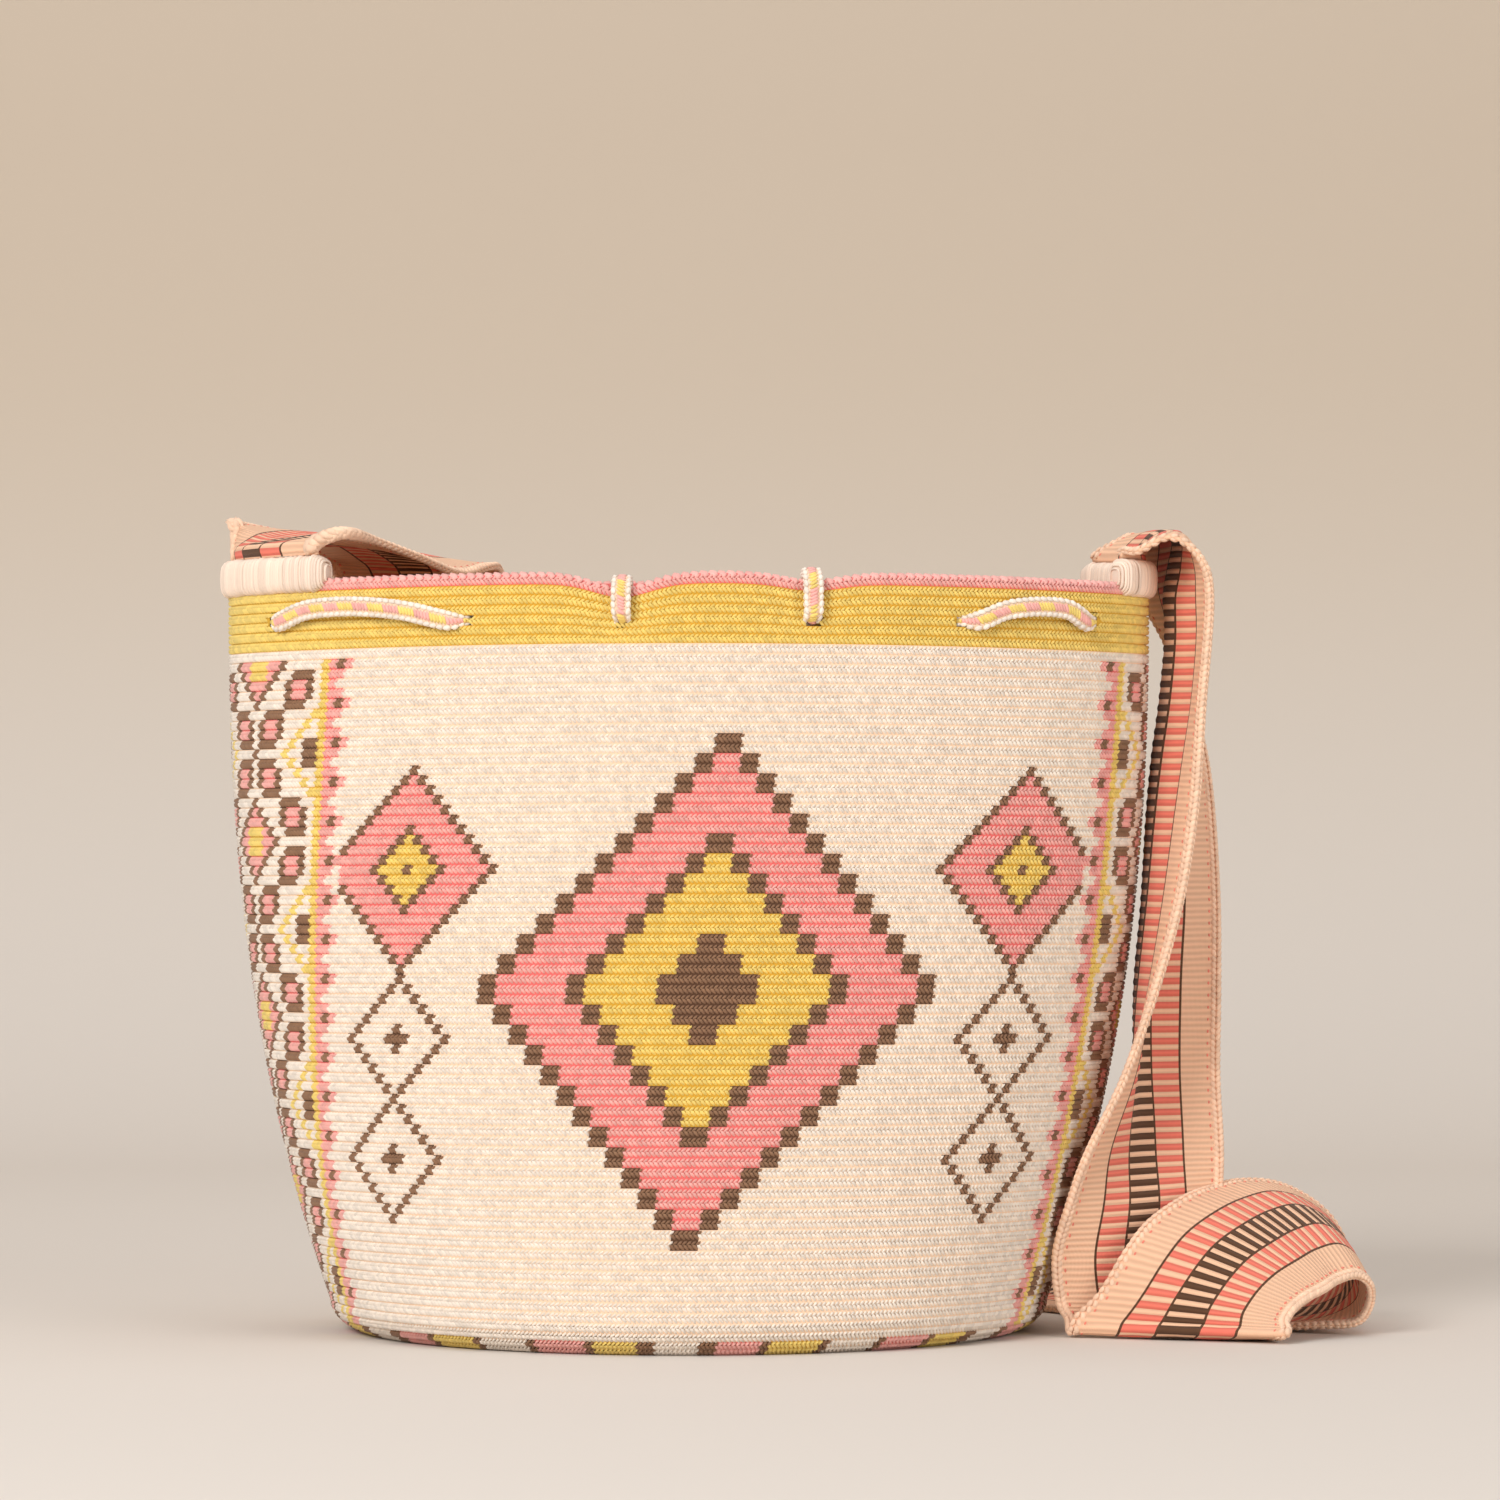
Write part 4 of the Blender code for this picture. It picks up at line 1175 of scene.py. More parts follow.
@dataclass(frozen=True)
class ShoulderStrap:
    """Woven band from the right end of the rim, over the floor and behind the bag, to its left end.

    Attributes:
        outline: the bag's shape.
        width: the band's width.
        thickness: its thickness.
        bar: distance from one woven bar to the next.
        line: width of a thin brown line.
        selvedge: width of the braided edge.
        whipped: length at the left end whose edges are whipped over with thicker yarn.
        right_angle: angle of the right end round the rim.
        left_angle: angle of the left end.
        stitch_rise: height of the stitching above the rim.
        seat: gap between the stitching and the strap.
        pieces_per_bar: steps of the mesh along one bar and the gap after it.
        raised: how many of them the bar takes up.
        stripe_edges: shares of the width at which the woven stripes meet.
        steps_across: steps in which the bowed section is measured.
    """

    outline: BagOutline
    width: float = 0.070
    thickness: float = 0.0022
    bar: float = 0.0046
    line: float = 0.0009
    selvedge: float = 0.0040
    whipped: float = 0.034
    right_angle: float = 4.0
    left_angle: float = 199.0
    stitch_rise: float = 0.0095
    seat: float = 0.0007
    pieces_per_bar: int = 7
    raised: int = 4
    stripe_edges: tuple[float, ...] = (0.235, 0.405, 0.595, 0.765)
    steps_across: int = 24

    def turned(self, middle: Sequence[float], edge_1: Sequence[float], edge_2: Sequence[float],
               stretch: float = 1.0, curl: Sequence[float] = (0, 0, 0)) -> Station:
        """A station from its middle and the directions of its edges.

        Args:
            middle: the middle, in metres.
            edge_1: direction of the edge that faces the viewer at the right.
            edge_2: direction of the other edge.
            stretch: over 1 where the crossing runs slantwise.
            curl: how far the lines halfway to the edges bow out, in millimetres.

        Returns:
            The station.
        """
        reach = self.width / 2 * stretch
        centre = np.array(middle, dtype=float)
        one, two = (unit(np.array(e, dtype=float)) * reach for e in (edge_1, edge_2))
        return Station(centre + one, centre, centre + two, centre + np.array(curl) * MM)

    def beside(self, out: float, y: float, z: float, edge_1: Triple, edge_2: Triple,
               stretch: float = 1.0, curl: Triple = (0, 0, 0)) -> Station:
        """A station off the wall's right end, in millimetres."""
        height = z * MM
        middle = (float(self.outline.half_width(height)) + out * MM, y * MM, height)
        return self.turned(middle, edge_1, edge_2, stretch, curl)

    def behind(self, share: float, gap: float, z: float, edge_1: Triple, edge_2: Triple) -> Station:
        """A station off the wall's back, at a share of its half width."""
        height = z * MM
        back = float(self.outline.half_depth(height)) * math.sqrt(1 - share * share)
        middle = (share * float(self.outline.half_width(height)), back + gap * MM, height)
        return self.turned(middle, edge_1, edge_2)

    def over_mouth(self, inward: float, y: float, rise: float, edge_1: Triple, edge_2: Triple) -> Station:
        """A station above the mouth, measured inwards from the wall's left end."""
        middle = (inward * MM - self.outline.mouth, y * MM, self.outline.rim + rise * MM)
        return self.turned(middle, edge_1, edge_2)

    def sewn_end(self, centre: float, rise: float) -> Station:
        """A station along the rim's curve, at a rise above the stitching."""
        shape = self.outline
        angles = shape.arc_angles(centre, self.width, shape.rim, 3)
        feet = shape.place(angles, shape.rim_height(angles), -shape.wall / 2)
        feet[:, 2] += self.stitch_rise + self.seat + rise * MM
        return Station(*feet, feet[1])

    def stations(self) -> list[Station]:
        """The strap's way, from its right end to its left end."""
        left = [self.sewn_end(self.left_angle, rise) for rise in (4, 0)]
        return [
            self.sewn_end(self.right_angle, 0),
            self.sewn_end(self.right_angle, 3),
            *self.down_the_side(),
            *self.fold_on_the_floor(),
            *self.loop(),
            *self.behind_the_bag(),
            *self.across_the_mouth(),
            *(Station(s.last, s.middle, s.first, s.middle) for s in left),
        ]

    def down_the_side(self) -> list[Station]:
        """Over the rim's right end and down beside the bag."""
        places = (
            (2.5, 2, 304, (-9, -36, -7), (-14, 38, -1)),
            (9.5, 1, 305.5, (-5, -37, -3), (-18, 40, -1)),
            (12.5, 0.5, 301.5, (1, -36, -2), (-17, 38, -2)),
            (10.5, 0.5, 292, (10, -34, -1), (-14, 36, -2), 1, (2, 0, 0)),
            (7.5, 0.5, 280, (15, -31.5, 0), (-7, 34, 0), 1, (4.6, 0.5, 0)),
            (7.5, 0.5, 264, (14.2, -31.5, 0), (2, 35, 0), 1, (6.1, 1, 0)),
            (5.6, -0.5, 240, (14.5, -31.5, 0), (14, 32, 0), 1, (7.5, 1, 0)),
            (3.5, -1.5, 220, (16.3, -31, 0), (22, 27, 0), 1, (7.5, 0.5, 0)),
            (2.5, -4, 197, (16.5, -31, 0), (26.5, 22, 0), 1, (6.5, 0, 0)),
            (3.2, -7, 164, (12.5, -32, 0), (30.5, 17, 0), 1, (5.8, -1, 0)),
            (4.6, -10, 130, (5.6, -34.5, 0), (33.2, 11, 0), 1, (6.2, -1, 0)),
            (10.4, -13, 97, (-6.8, -34.3, 0), (32.7, 12, 0), 1, (5, 0, 0)),
            (17.5, -20, 69.5, (-21.7, -27.5, 0), (32.9, 12, 0), 1, (1, 0, 0)),
            (23.7, -27, 50, (-30, -18, 0), (31, 16, 2)),
            (28, -33, 31, (-33, -9, 0), (33, 17, 2)),
            (36, -37, 13.5, (-34.5, -5, 0), (34, 13, 1.5)),
        )
        return [self.beside(*place) for place in places]

    def fold_on_the_floor(self) -> list[Station]:
        """The diagonal fold where the strap reaches the floor."""
        places = (
            (43, -44, 4, (-36, 2, 3), (36, 4, -1)),
            (48, -55, 1.7, (-38.5, 10, 1), (40, -6, 0), 1.14),
            (50, -61.5, 3.6, (-40, 14, 0), (40.6, -15.3, 0), 1.22),
            (51, -60, 6.2, (-40, 13, 2), (40, -15, -1), 1.21),
            (52, -60, 14, (-33, 11.4, 3), (37, -10, -6.5), 1.06),
            (55.5, -57, 24, (-28.7, 9.6, 8), (33, -9, -12)),
        )
        return [self.beside(*place) for place in places]

    def loop(self) -> list[Station]:
        """The loop that stands on the floor at the right."""
        places = (
            (61, -51, 32.5, (-30, 11, 10.5), (29.3, -9, -16.5)),
            (70, -42, 39, (-26.4, 16, 12), (23.8, -14, -20)),
            (79, -31, 43, (-24, 19, 11), (19.4, -19, -22)),
            (88, -24, 44.5, (-23, 20, 11), (18, -21, -22.5)),
            (98, -17, 40.5, (-19.5, 23, 14), (15, -24, -23.5)),
            (108, -9, 32, (-15, 27, 18), (7.5, -29.5, -24)),
            (115, -4, 21, (-7, 29, 20), (-2, -33, -18)),
            (115, 1, 10.5, (4, 30, 16.5), (-12, -36, -8)),
            (107, 7, 5, (12, 28, 16), (-19, -34, -3)),
            (94, 16, 3, (20, 27, 9), (-23, -28, -1)),
        )
        return [self.beside(*place) for place in places]

    def behind_the_bag(self) -> list[Station]:
        """Flat on the floor to the back, then slantwise up the bag's back."""
        floor = (
            (77, 36, 1.7, (27, 22, 0), (-27, -22, 0)),
            (51, 66, 1.7, (27, 22, 0), (-27, -22, 0)),
            (27, 97, 1.9, (27, 22, 0), (-27, -22, 0)),
            (3, 122, 7.5, (22, 20, 16), (-24, -20, -5)),
            (-30, 136, 20, (12, 10, 31), (-14, -12, -17)),
        )
        back = (
            (0.51, 34, 40, (13, -8, 31), (-8, -2, -33)),
            (0.27, 29, 68, (15, -10, 29), (-14, 6, -31)),
            (0.05, 23, 102, (18, -6, 28), (-18, 6, -28)),
            (-0.14, 19, 141, (22, -3, 26), (-22, 3, -26)),
            (-0.30, 15, 180, (26, -1, 22), (-26, -2, -22)),
            (-0.435, 12, 220, (30, 3, 17), (-30, -5, -17)),
            (-0.53, 13.5, 252, (33, 7, 11), (-32, -10, -11)),
            (-0.585, 13, 275, (34, 9, 5), (-33, -14, -5)),
        )
        return [self.beside(*place) for place in floor] + [self.behind(*place) for place in back]

    def across_the_mouth(self) -> list[Station]:
        """Over the back rim and the mouth to the left end."""
        places = (
            (68.5, 62.5, 3.6, (34, 8, 1), (-32, -14, 0)),
            (65, 49, 9, (34, 4, -3), (-34, -4, 1)),
            (56, 27, 13, (33, -6, -11), (-33, 6, 2.5)),
            (43, 4, 15, (30, -15, -7), (-32, 13, 4)),
            (30, -13, 13.5, (25, -22, 1), (-28, 17, 7.5)),
            (21.5, -24, 12.5, (26, -25, 4), (-20, 28, 7)),
        )
        return [self.over_mouth(*place) for place in places]

    def rails(self) -> tuple[np.ndarray, np.ndarray]:
        """Edge, middle, edge and curl along the strap, at even steps, and the steps' lengths."""
        stations = self.stations()
        names = ("first", "middle", "last", "curled")
        lines = [np.array([getattr(station, name) for station in stations]) for name in names]
        smooth = [smooth_path(line, 16) for line in lines]
        runs = run_lengths(smooth[1])
        step = self.bar / self.pieces_per_bar
        wanted = np.linspace(0, runs[-1], round(runs[-1] / step) + 1)
        rails = np.array([resample(rail, runs, wanted) for rail in smooth])
        rails[..., 2] = np.maximum(rails[..., 2], self.thickness / 2 + 0.0004)
        return rails, wanted

    def across(self, rails: np.ndarray, shares: np.ndarray) -> np.ndarray:
        """Points at shares of the width, on the bowed line through the rails."""
        u = (np.arange(self.steps_across + 1) / (self.steps_across / 2) - 1)[:, None, None]
        first, middle, last, curled = rails
        fine = first * (u * (u - 1) / 2) + middle * (1 - u * u) + last * (u * (u + 1) / 2)
        fine += (curled - middle) * 16 * (u * (1 - np.abs(u))) ** 2
        runs = np.concatenate((np.zeros((1, fine.shape[1])),
                               np.cumsum(np.linalg.norm(np.diff(fine, axis=0), axis=2), axis=0)))
        grid = np.empty((fine.shape[1], len(shares), 3))
        for i in range(fine.shape[1]):
            grid[i] = resample(fine[:, i], runs[:, i], runs[-1, i] * shares)
        return grid

    @staticmethod
    def normals(grid: np.ndarray) -> np.ndarray:
        """Directions square to the band at each point of its grid."""
        ahead = np.gradient(grid, axis=0)
        across = np.gradient(grid, axis=1)
        return unit(np.cross(ahead, across))

    def stripes(self) -> tuple[np.ndarray, list[str]]:
        """Places of the stripes' columns across the width, and what each one is."""
        half = self.line / 2
        edges = [edge * self.width for edge in self.stripe_edges]
        places = [0.0, self.selvedge, 0.0100, edges[0] - half]
        kinds = ["plain", "plain", "plain"]
        inner = ("rose bars", "brown bars", "rose bars")
        for edge, nxt, kind in zip(edges, edges[1:], inner):
            places += [edge + half, (edge + nxt) / 2, nxt - half]
            kinds += ["line", kind, kind]
        places += [edges[3] + half, self.width - 0.0100, self.width - self.selvedge, self.width]
        kinds += ["line", "plain", "plain", "plain"]
        return np.array(places), kinds

    def band(self, rails: np.ndarray) -> bpy.types.Object:
        """The woven band with raised bars, one body."""
        places, kinds = self.stripes()
        grid = self.across(rails, places / self.width)
        normals = self.normals(grid)
        rows, columns = grid.shape[:2]
        phase = np.arange(rows) % self.pieces_per_bar
        rise = np.zeros((rows, columns))
        for j, kind in enumerate(kinds):
            if "bars" in kind:
                hump = np.sin(np.clip(phase / self.raised, 0, 1) * math.pi)
                lift = np.where(phase < self.raised, 0.00028 * hump, -0.00008)
                for edge in (j, j + 1):
                    rise[:, edge] = np.where(np.abs(rise[:, edge]) > 0, rise[:, edge], lift)
        for j, kind in enumerate(kinds):
            if kind == "line":
                rise[:, j] = rise[:, j + 1] = 0.0001
        half = self.thickness / 2 + rise
        half[:, 0] = half[:, -1] = self.thickness * 0.3
        top, under = grid + normals * half[..., None], grid - normals * half[..., None]
        ring = np.concatenate((top, under[:, ::-1]), axis=1)
        ring[..., 2] = np.maximum(ring[..., 2], 0.0002)
        count = 2 * columns
        faces = grid_faces(rows, count, closed=True)
        yarns = {"plain": Yarn.PEACH, "line": Yarn.BROWN, "rose bars": Yarn.CORAL, "brown bars": Yarn.BROWN}
        order = list(WEBBING)
        numbers = np.zeros((rows - 1, count), dtype=np.int32)
        for j, kind in enumerate(kinds):
            for side in (j, count - 2 - j):
                slot = order.index(yarns[kind])
                numbers[:, side] = np.where(phase[:-1] < self.raised, slot, 0) if "bars" in kind else slot
        quads = faces.reshape(-1, 4)[:, ::-1]
        ends = [list(range(count)), list(range((rows - 1) * count, rows * count))[::-1]]
        piece = add_mesh("woven_strap", ring.reshape(-1, 3), [*quads.tolist(), *ends])
        for yarn in order:
            piece.data.materials.append(WEBBING[yarn].material())
        slots = np.append(numbers.ravel(), (0, 0)).astype(np.int32)
        piece.data.polygons.foreach_set("material_index", slots)
        self.map_band(piece, rows, count, places)
        return piece

    def map_band(self, piece: bpy.types.Object, rows: int, count: int, places: np.ndarray) -> None:
        """Give the band a UV map in metres: across it in U, along it in V."""
        layer = piece.data.uv_layers.new(name="weave")
        across = np.concatenate((places, places[::-1]))
        step = self.bar / self.pieces_per_bar
        numbers = np.empty(len(piece.data.loops), dtype=np.int64)
        piece.data.loops.foreach_get("vertex_index", numbers)
        values = np.stack((across[numbers % count], (numbers // count) * step), axis=-1)
        layer.data.foreach_set("uv", values.astype(np.float32).ravel())

    def edge_stitches(self, rails: np.ndarray) -> tuple[Stitches, Stitches]:
        """The braided selvedges and the coral stitches beside them, on both faces."""
        runs = run_lengths(rails[1])
        pitch = self.bar / 2
        wanted = np.arange(pitch, runs[-1] - pitch, pitch)
        pick = np.array([resample(rail, runs, wanted) for rail in rails])
        chains, dots = [], []
        places = (0.0008, 0.0028, 0.0049)
        for side in (0, 1):
            shares = np.array([p / self.width if side == 0 else 1 - p / self.width for p in places])
            order = shares if side == 0 else shares[::-1]
            grid = self.across(pick, order)
            normals = self.normals(grid)
            if side == 1:
                grid, normals = grid[:, ::-1], normals[:, ::-1]
            ahead = unit(np.gradient(grid[:, 1], axis=0))
            inward = unit(grid[:, 2] - grid[:, 0])
            for face in (1, -1):
                for column, slant in ((0, 30.0), (1, -30.0)):
                    along = slanted(ahead, inward, slant)
                    out = normals[:, column] * face
                    if column == 0:
                        out = unit(out - inward * 0.6)
                    middle = grid[:, column] + normals[:, column] * face * self.thickness * 0.38
                    size = np.tile((0.0038, 0.0024, 0.0014), (len(middle), 1))
                    size *= 1 + 1.1 * np.clip((wanted - runs[-1] + self.whipped) / 0.012, 0, 1)[:, None]
                    chains.append(Stitches(middle, along, out, size))
                out = normals[::2, 2] * face
                middle = grid[::2, 2] + out * (self.thickness / 2)
                size = np.tile((0.0016, 0.0009, 0.0006), (len(middle), 1))
                dots.append(Stitches(middle, ahead[::2], out, size))
        both = []
        for parts in (chains, dots):
            stitches = Stitches.joined(parts)
            lowest = stitches.size[:, 2] * 0.5
            stitches.places[:, 2] = np.maximum(stitches.places[:, 2], lowest)
            both.append(stitches)
        return both[0], both[1]

    def build(self) -> None:
        """Make and finish the band, its selvedges and its edge stitches."""
        rails, runs = self.rails()
        band = finish_piece(self.band(rails), "peach_webbing", "shoulder_strap")
        grain = SHAPES.grain(3, 5)
        chains, dots = self.edge_stitches(rails)
        braid = chains.lay("strap_selvedges", grain, CROCHET[Yarn.PEACH], 0.03)
        finish_piece(braid, "peach_webbing", "shoulder_strap")
        marks = dots.lay("strap_edge_stitches", grain, CROCHET[Yarn.CORAL])
        finish_piece(marks, "peach_webbing", "shoulder_strap")
        bpy.data.objects.remove(grain)


@dataclass(frozen=True)
class StrapStitching:
    """Yarn whipped over the rim and round the strap's end, wrap beside wrap.

    Attributes:
        name: the piece's name.
        node: the CAD node that it replaces.
        outline: the bag's shape.
        centre: angle of its middle round the rim.
        length: its length along the rim.
        rise: height above the rim.
        drop: reach below the rim.
        depth: how far it stands off the wall.
        yarn: radius of the yarn.
        rounding: length over which each end rounds off.
        square: power that squares the section, 1 for a round one.
        points: points of the section.
        seed: seed of the wraps' unevenness.
    """

    name: str
    node: str
    outline: BagOutline
    centre: float
    length: float = 0.0785
    rise: float = 0.0100
    drop: float = 0.0042
    depth: float = 0.0036
    yarn: float = 0.00072
    rounding: float = 0.0060
    square: float = 0.62
    points: int = 20
    seed: int = 3

    def section(self) -> np.ndarray:
        """The wraps' middle line round their own middle, as (outwards, up) points."""
        half = self.outline.wall / 2 + self.depth - self.yarn
        turn = 2 * math.pi * np.arange(self.points) / self.points
        x = np.sign(np.cos(turn)) * np.abs(np.cos(turn)) ** self.square * half
        height = (self.rise + self.drop) / 2 - self.yarn
        z = np.sign(np.sin(turn)) * np.abs(np.sin(turn)) ** self.square * height
        return np.stack((x, z), axis=-1)

    def build(self) -> None:
        """Lay the wraps along the rim."""
        loop = SHAPES.loop(self.section(), self.yarn)
        count = round(self.length / (self.yarn * 1.45))
        angle = self.outline.arc_angles(self.centre, self.length, self.outline.rim, count)
        z = self.outline.rim_height(angle)
        up = np.tile(UP, (count, 1))
        places = self.outline.place(angle, z, -self.outline.wall / 2) + up * (self.rise - self.drop) / 2
        out = self.outline.outward(angle, z)
        # The wrap's X runs along the rim, its Y outwards and its Z up
        along = unit(np.cross(out, up))
        loose = np.random.default_rng(self.seed)
        along = unit(along + out * loose.normal(0, 0.03, (count, 1)) + up * loose.normal(0, 0.04, (count, 1)))
        from_end = self.length / 2 * (1 - np.abs(np.linspace(-1, 1, count)))
        full = np.sqrt(1 - (1 - np.clip((from_end + self.yarn) / self.rounding, 0, 1)) ** 2)
        size = np.stack((np.ones(count), full, full), axis=-1)
        stitches = Stitches(places, along, up, size)
        piece = stitches.lay(self.name, loop, CROCHET[Yarn.PALE], looseness=0.045)
        finish_piece(piece, "peach_stitching", self.node)
        bpy.data.objects.remove(loop)
        filling = self.section() * 0.9
        spread = filling[None, :, :1] * out[:, None] + filling[None, :, 1:] * up[:, None]
        core = add_tube(f"{self.name}_filling", places[:, None] + full[:, None, None] * spread)
        core.data.materials.append(CROCHET[Yarn.PALE].material())
        finish_piece(core, "peach_stitching", self.node)


# Drawstring


@dataclass(frozen=True)
class Drawstring:
    """Flat braided cord through the eyelets, both ends over the front rim into the bag.

    Attributes:
        outline: the bag's shape.
        runs_outside: where the cord leaves the wall and goes in again, leftwards round the bag.
        width: the cord's width.
        thickness: its thickness.
        slack: how far an outside run bows up.
        squeeze: share of the width inside an eyelet.
        crossing: half the length along the wall that it takes to pass through.
        tail: length of a tail below the rim.
        tassel_radius: radius of the tassels that hang on it.
        group: strokes of one colour in a row along the middle.
    """

    outline: BagOutline
    runs_outside: tuple[tuple[float, float], ...]
    width: float = 0.0080
    thickness: float = 0.0030
    slack: float = 0.0055
    squeeze: float = 0.5
    crossing: float = 0.0058
    tail: float = 0.105
    tassel_radius: float = 0.0078
    group: int = 5

    def level(self) -> float:
        """Height of the eyelets' middles."""
        return self.outline.rim - self.outline.eyelet_drop

    def spot(self, angle: float, z: float, off: float) -> np.ndarray:
        """A point off the wall."""
        return self.outline.place(np.array(angle), np.array(z), off)

    def degrees_for(self, angle: float, length: float) -> float:
        """Degrees that a length along the wall takes up at an angle."""
        step = 0.5
        apart = self.spot(angle + step, self.level(), 0) - self.spot(angle, self.level(), 0)
        return length * step / float(np.linalg.norm(apart))

    def inner(self) -> float:
        """How far off the wall's outer face the cord's middle runs inside."""
        return -self.outline.wall - 0.0007 - self.thickness / 2

    def outer(self) -> float:
        """How far off the wall's outer face it runs outside."""
        return 0.0003 + self.thickness / 2

    def tail_axis(self, angle: float) -> np.ndarray:
        """Where a tail hangs plumb."""
        top = float(self.outline.rim_height(angle))
        return self.spot(angle, top, -self.outline.wall - self.tassel_radius - 1.5 * MM)

    def tail_route(self, angle: float, side: int) -> list[tuple[np.ndarray, np.ndarray, float]]:
        """From a tail's end inside the bag, over the rim and down and in at its eyelet.

        Args:
            angle: the tail's angle.
            side: sign of the change of angle from the eyelet on into the bag.

        Returns:
            Middles, directions of the width and squeezes.
        """
        top = float(self.outline.rim_height(angle))
        out = self.outline.outward(np.array(angle), np.array(top))
        flat = np.array((-out[1], out[0], 0.0))
        axis = self.tail_axis(angle)
        over = 0.0003 + self.thickness / 2 + 0.0009
        route = []
        for k in range(7):
            z = top - self.tail + (self.tail - 6 * MM) * k / 6
            route.append((np.array((axis[0], axis[1], z)), flat, 1.0))
        wall = self.outline.wall
        bend = (
            (-wall - 5.5 * MM, top + 0.5 * MM, 1.0),
            (-wall / 2 - 2 * MM, top + over + 1.0 * MM, 1.0),
            (0.0, top + over + 0.9 * MM, 1.0),
            (over + 1.2 * MM, top - 0.5 * MM, 1.0),
            (over + 1.0 * MM, (self.level() + top) / 2, 1.0),
            (over + 0.5 * MM, self.level() + 2.5 * MM, 0.95),
        )
        route += [(self.spot(angle, z, gap), flat, squeeze) for gap, z, squeeze in bend]
        route.append((self.spot(angle, self.level(), -wall / 2), flat, 0.85))
        entry = angle + side * self.degrees_for(angle, self.crossing)
        return [*route, (self.spot(entry, self.level(), self.inner() - 1 * MM), UP - flat * side, 0.9)]

    def inside(self, angle: float) -> tuple[np.ndarray, np.ndarray, float]:
        """The cord inside the wall: its middle, its width's direction and its squeeze."""
        return self.spot(angle, self.level(), self.inner()), UP, 1.0

    def through(self, angle: float) -> tuple[np.ndarray, np.ndarray, float]:
        """The cord in an eyelet."""
        return self.spot(angle, self.level(), -self.outline.wall / 2), UP, self.squeeze

    def outside(self, angle: float, bow: float) -> tuple[np.ndarray, np.ndarray, float]:
        """The cord outside the wall, bowing up and out by a share of its slack."""
        off = self.outer() + 1.2 * MM * bow
        return self.spot(angle, self.level() + self.slack * bow, off), UP, 1.0

    @staticmethod
    def between(start: float, end: float, count: int) -> list[float]:
        """Angles spread evenly between two, without the two."""
        return [start + (end - start) * (k + 1) / (count + 1) for k in range(count)]

    def route(self) -> tuple[np.ndarray, np.ndarray, np.ndarray]:
        """The whole cord's middles, directions of its width and squeezes."""
        left, right = self.outline.tails
        route = self.tail_route(left, -1)
        start = left - self.degrees_for(left, self.crossing)
        for leave, enter in self.runs_outside:
            out_step, in_step = self.degrees_for(leave, self.crossing), self.degrees_for(enter, self.crossing)
            count = max(2, round((start - leave) / 7))
            route += [self.inside(t) for t in self.between(start, leave + out_step, count)]
            route += [self.inside(leave + out_step), self.through(leave), self.outside(leave - out_step, 0.0)]
            for t in self.between(leave - out_step, enter + in_step, 4):
                route.append(self.outside(t, math.sin((leave - t) / (leave - enter) * math.pi)))
            route += [self.outside(enter + in_step, 0.0), self.through(enter), self.inside(enter - in_step)]
            start = enter - in_step
        end = right - 360 + self.degrees_for(right, self.crossing)
        route += [self.inside(t) for t in self.between(start, end, 2)]
        route += reversed(self.tail_route(right, 1))
        middles, widths, squeezes = zip(*route)
        return np.array(middles), np.array(widths), np.array(squeezes)

    def frame_along(self) -> tuple[np.ndarray, ...]:
        """Even steps along the cord: middles, ahead, width and outward directions and squeezes."""
        middles, widths, squeezes = self.route()
        values = smooth_path(np.hstack((middles, widths, squeezes[:, None])), 8)
        runs = run_lengths(values[:, :3])
        wanted = np.linspace(0, runs[-1], round(runs[-1] / 0.00125) + 1)
        values = resample(values, runs, wanted)
        places = values[:, :3]
        ahead = unit(np.gradient(places, axis=0))
        width = values[:, 3:6]
        width = unit(width - ahead * (width * ahead).sum(axis=1, keepdims=True))
        return places, ahead, width, unit(np.cross(ahead, width)), values[:, 6]

    def core(self, line: tuple[np.ndarray, ...]) -> bpy.types.Object:
        """The cord's closed body under its strokes."""
        places, _, width, out, squeeze = line
        sides = 10
        turn = 2 * math.pi * np.arange(sides) / sides
        across = np.cos(turn)[None, :, None] * width[:, None] * (squeeze * self.width * 0.44)[:, None, None]
        deep = np.sin(turn)[None, :, None] * out[:, None] * self.thickness * 0.42
        return add_tube("drawstring_core", places[:, None] + across + deep)

    def strokes(self, line: tuple[np.ndarray, ...]) -> dict[Yarn, Stitches]:
        """The braid: slanted strokes along the middle, in two colours, between pale edges."""
        places, ahead, width, out, squeeze = line
        found: dict[Yarn, list[Stitches]] = {Yarn.ROSE: [], Yarn.MUSTARD: [], Yarn.CREAM: []}
        group = (np.arange(len(places)) // self.group) % 2
        narrow = squeeze[:, None]
        for face in (1, -1):
            along = slanted(ahead, width, 62)
            middle = places + out * face * self.thickness * 0.40
            size = np.hstack((narrow * 0.0040, np.full_like(narrow, 0.00155), np.full_like(narrow, 0.0011)))
            strokes = Stitches(middle, along, out * face, size)
            found[Yarn.ROSE].append(strokes.where(group == 0))
            found[Yarn.MUSTARD].append(strokes.where(group == 1))
        keep = np.arange(len(places)) % 2 == 0
        for edge in (1, -1):
            for face in (1, -1):
                slant = math.radians(24) * edge
                along = ahead * math.cos(slant) - width * math.sin(slant) * face
                middle = places + width * edge * self.width * 0.355 * narrow
                middle = middle + out * face * self.thickness * 0.24
                facing = unit(out * face + width * edge * 0.8)
                size = np.tile((0.0034, 0.0021, 0.0016), (len(places), 1))
                found[Yarn.CREAM].append(Stitches(middle, along, facing, size).where(keep))
        return {yarn: Stitches.joined(parts) for yarn, parts in found.items()}

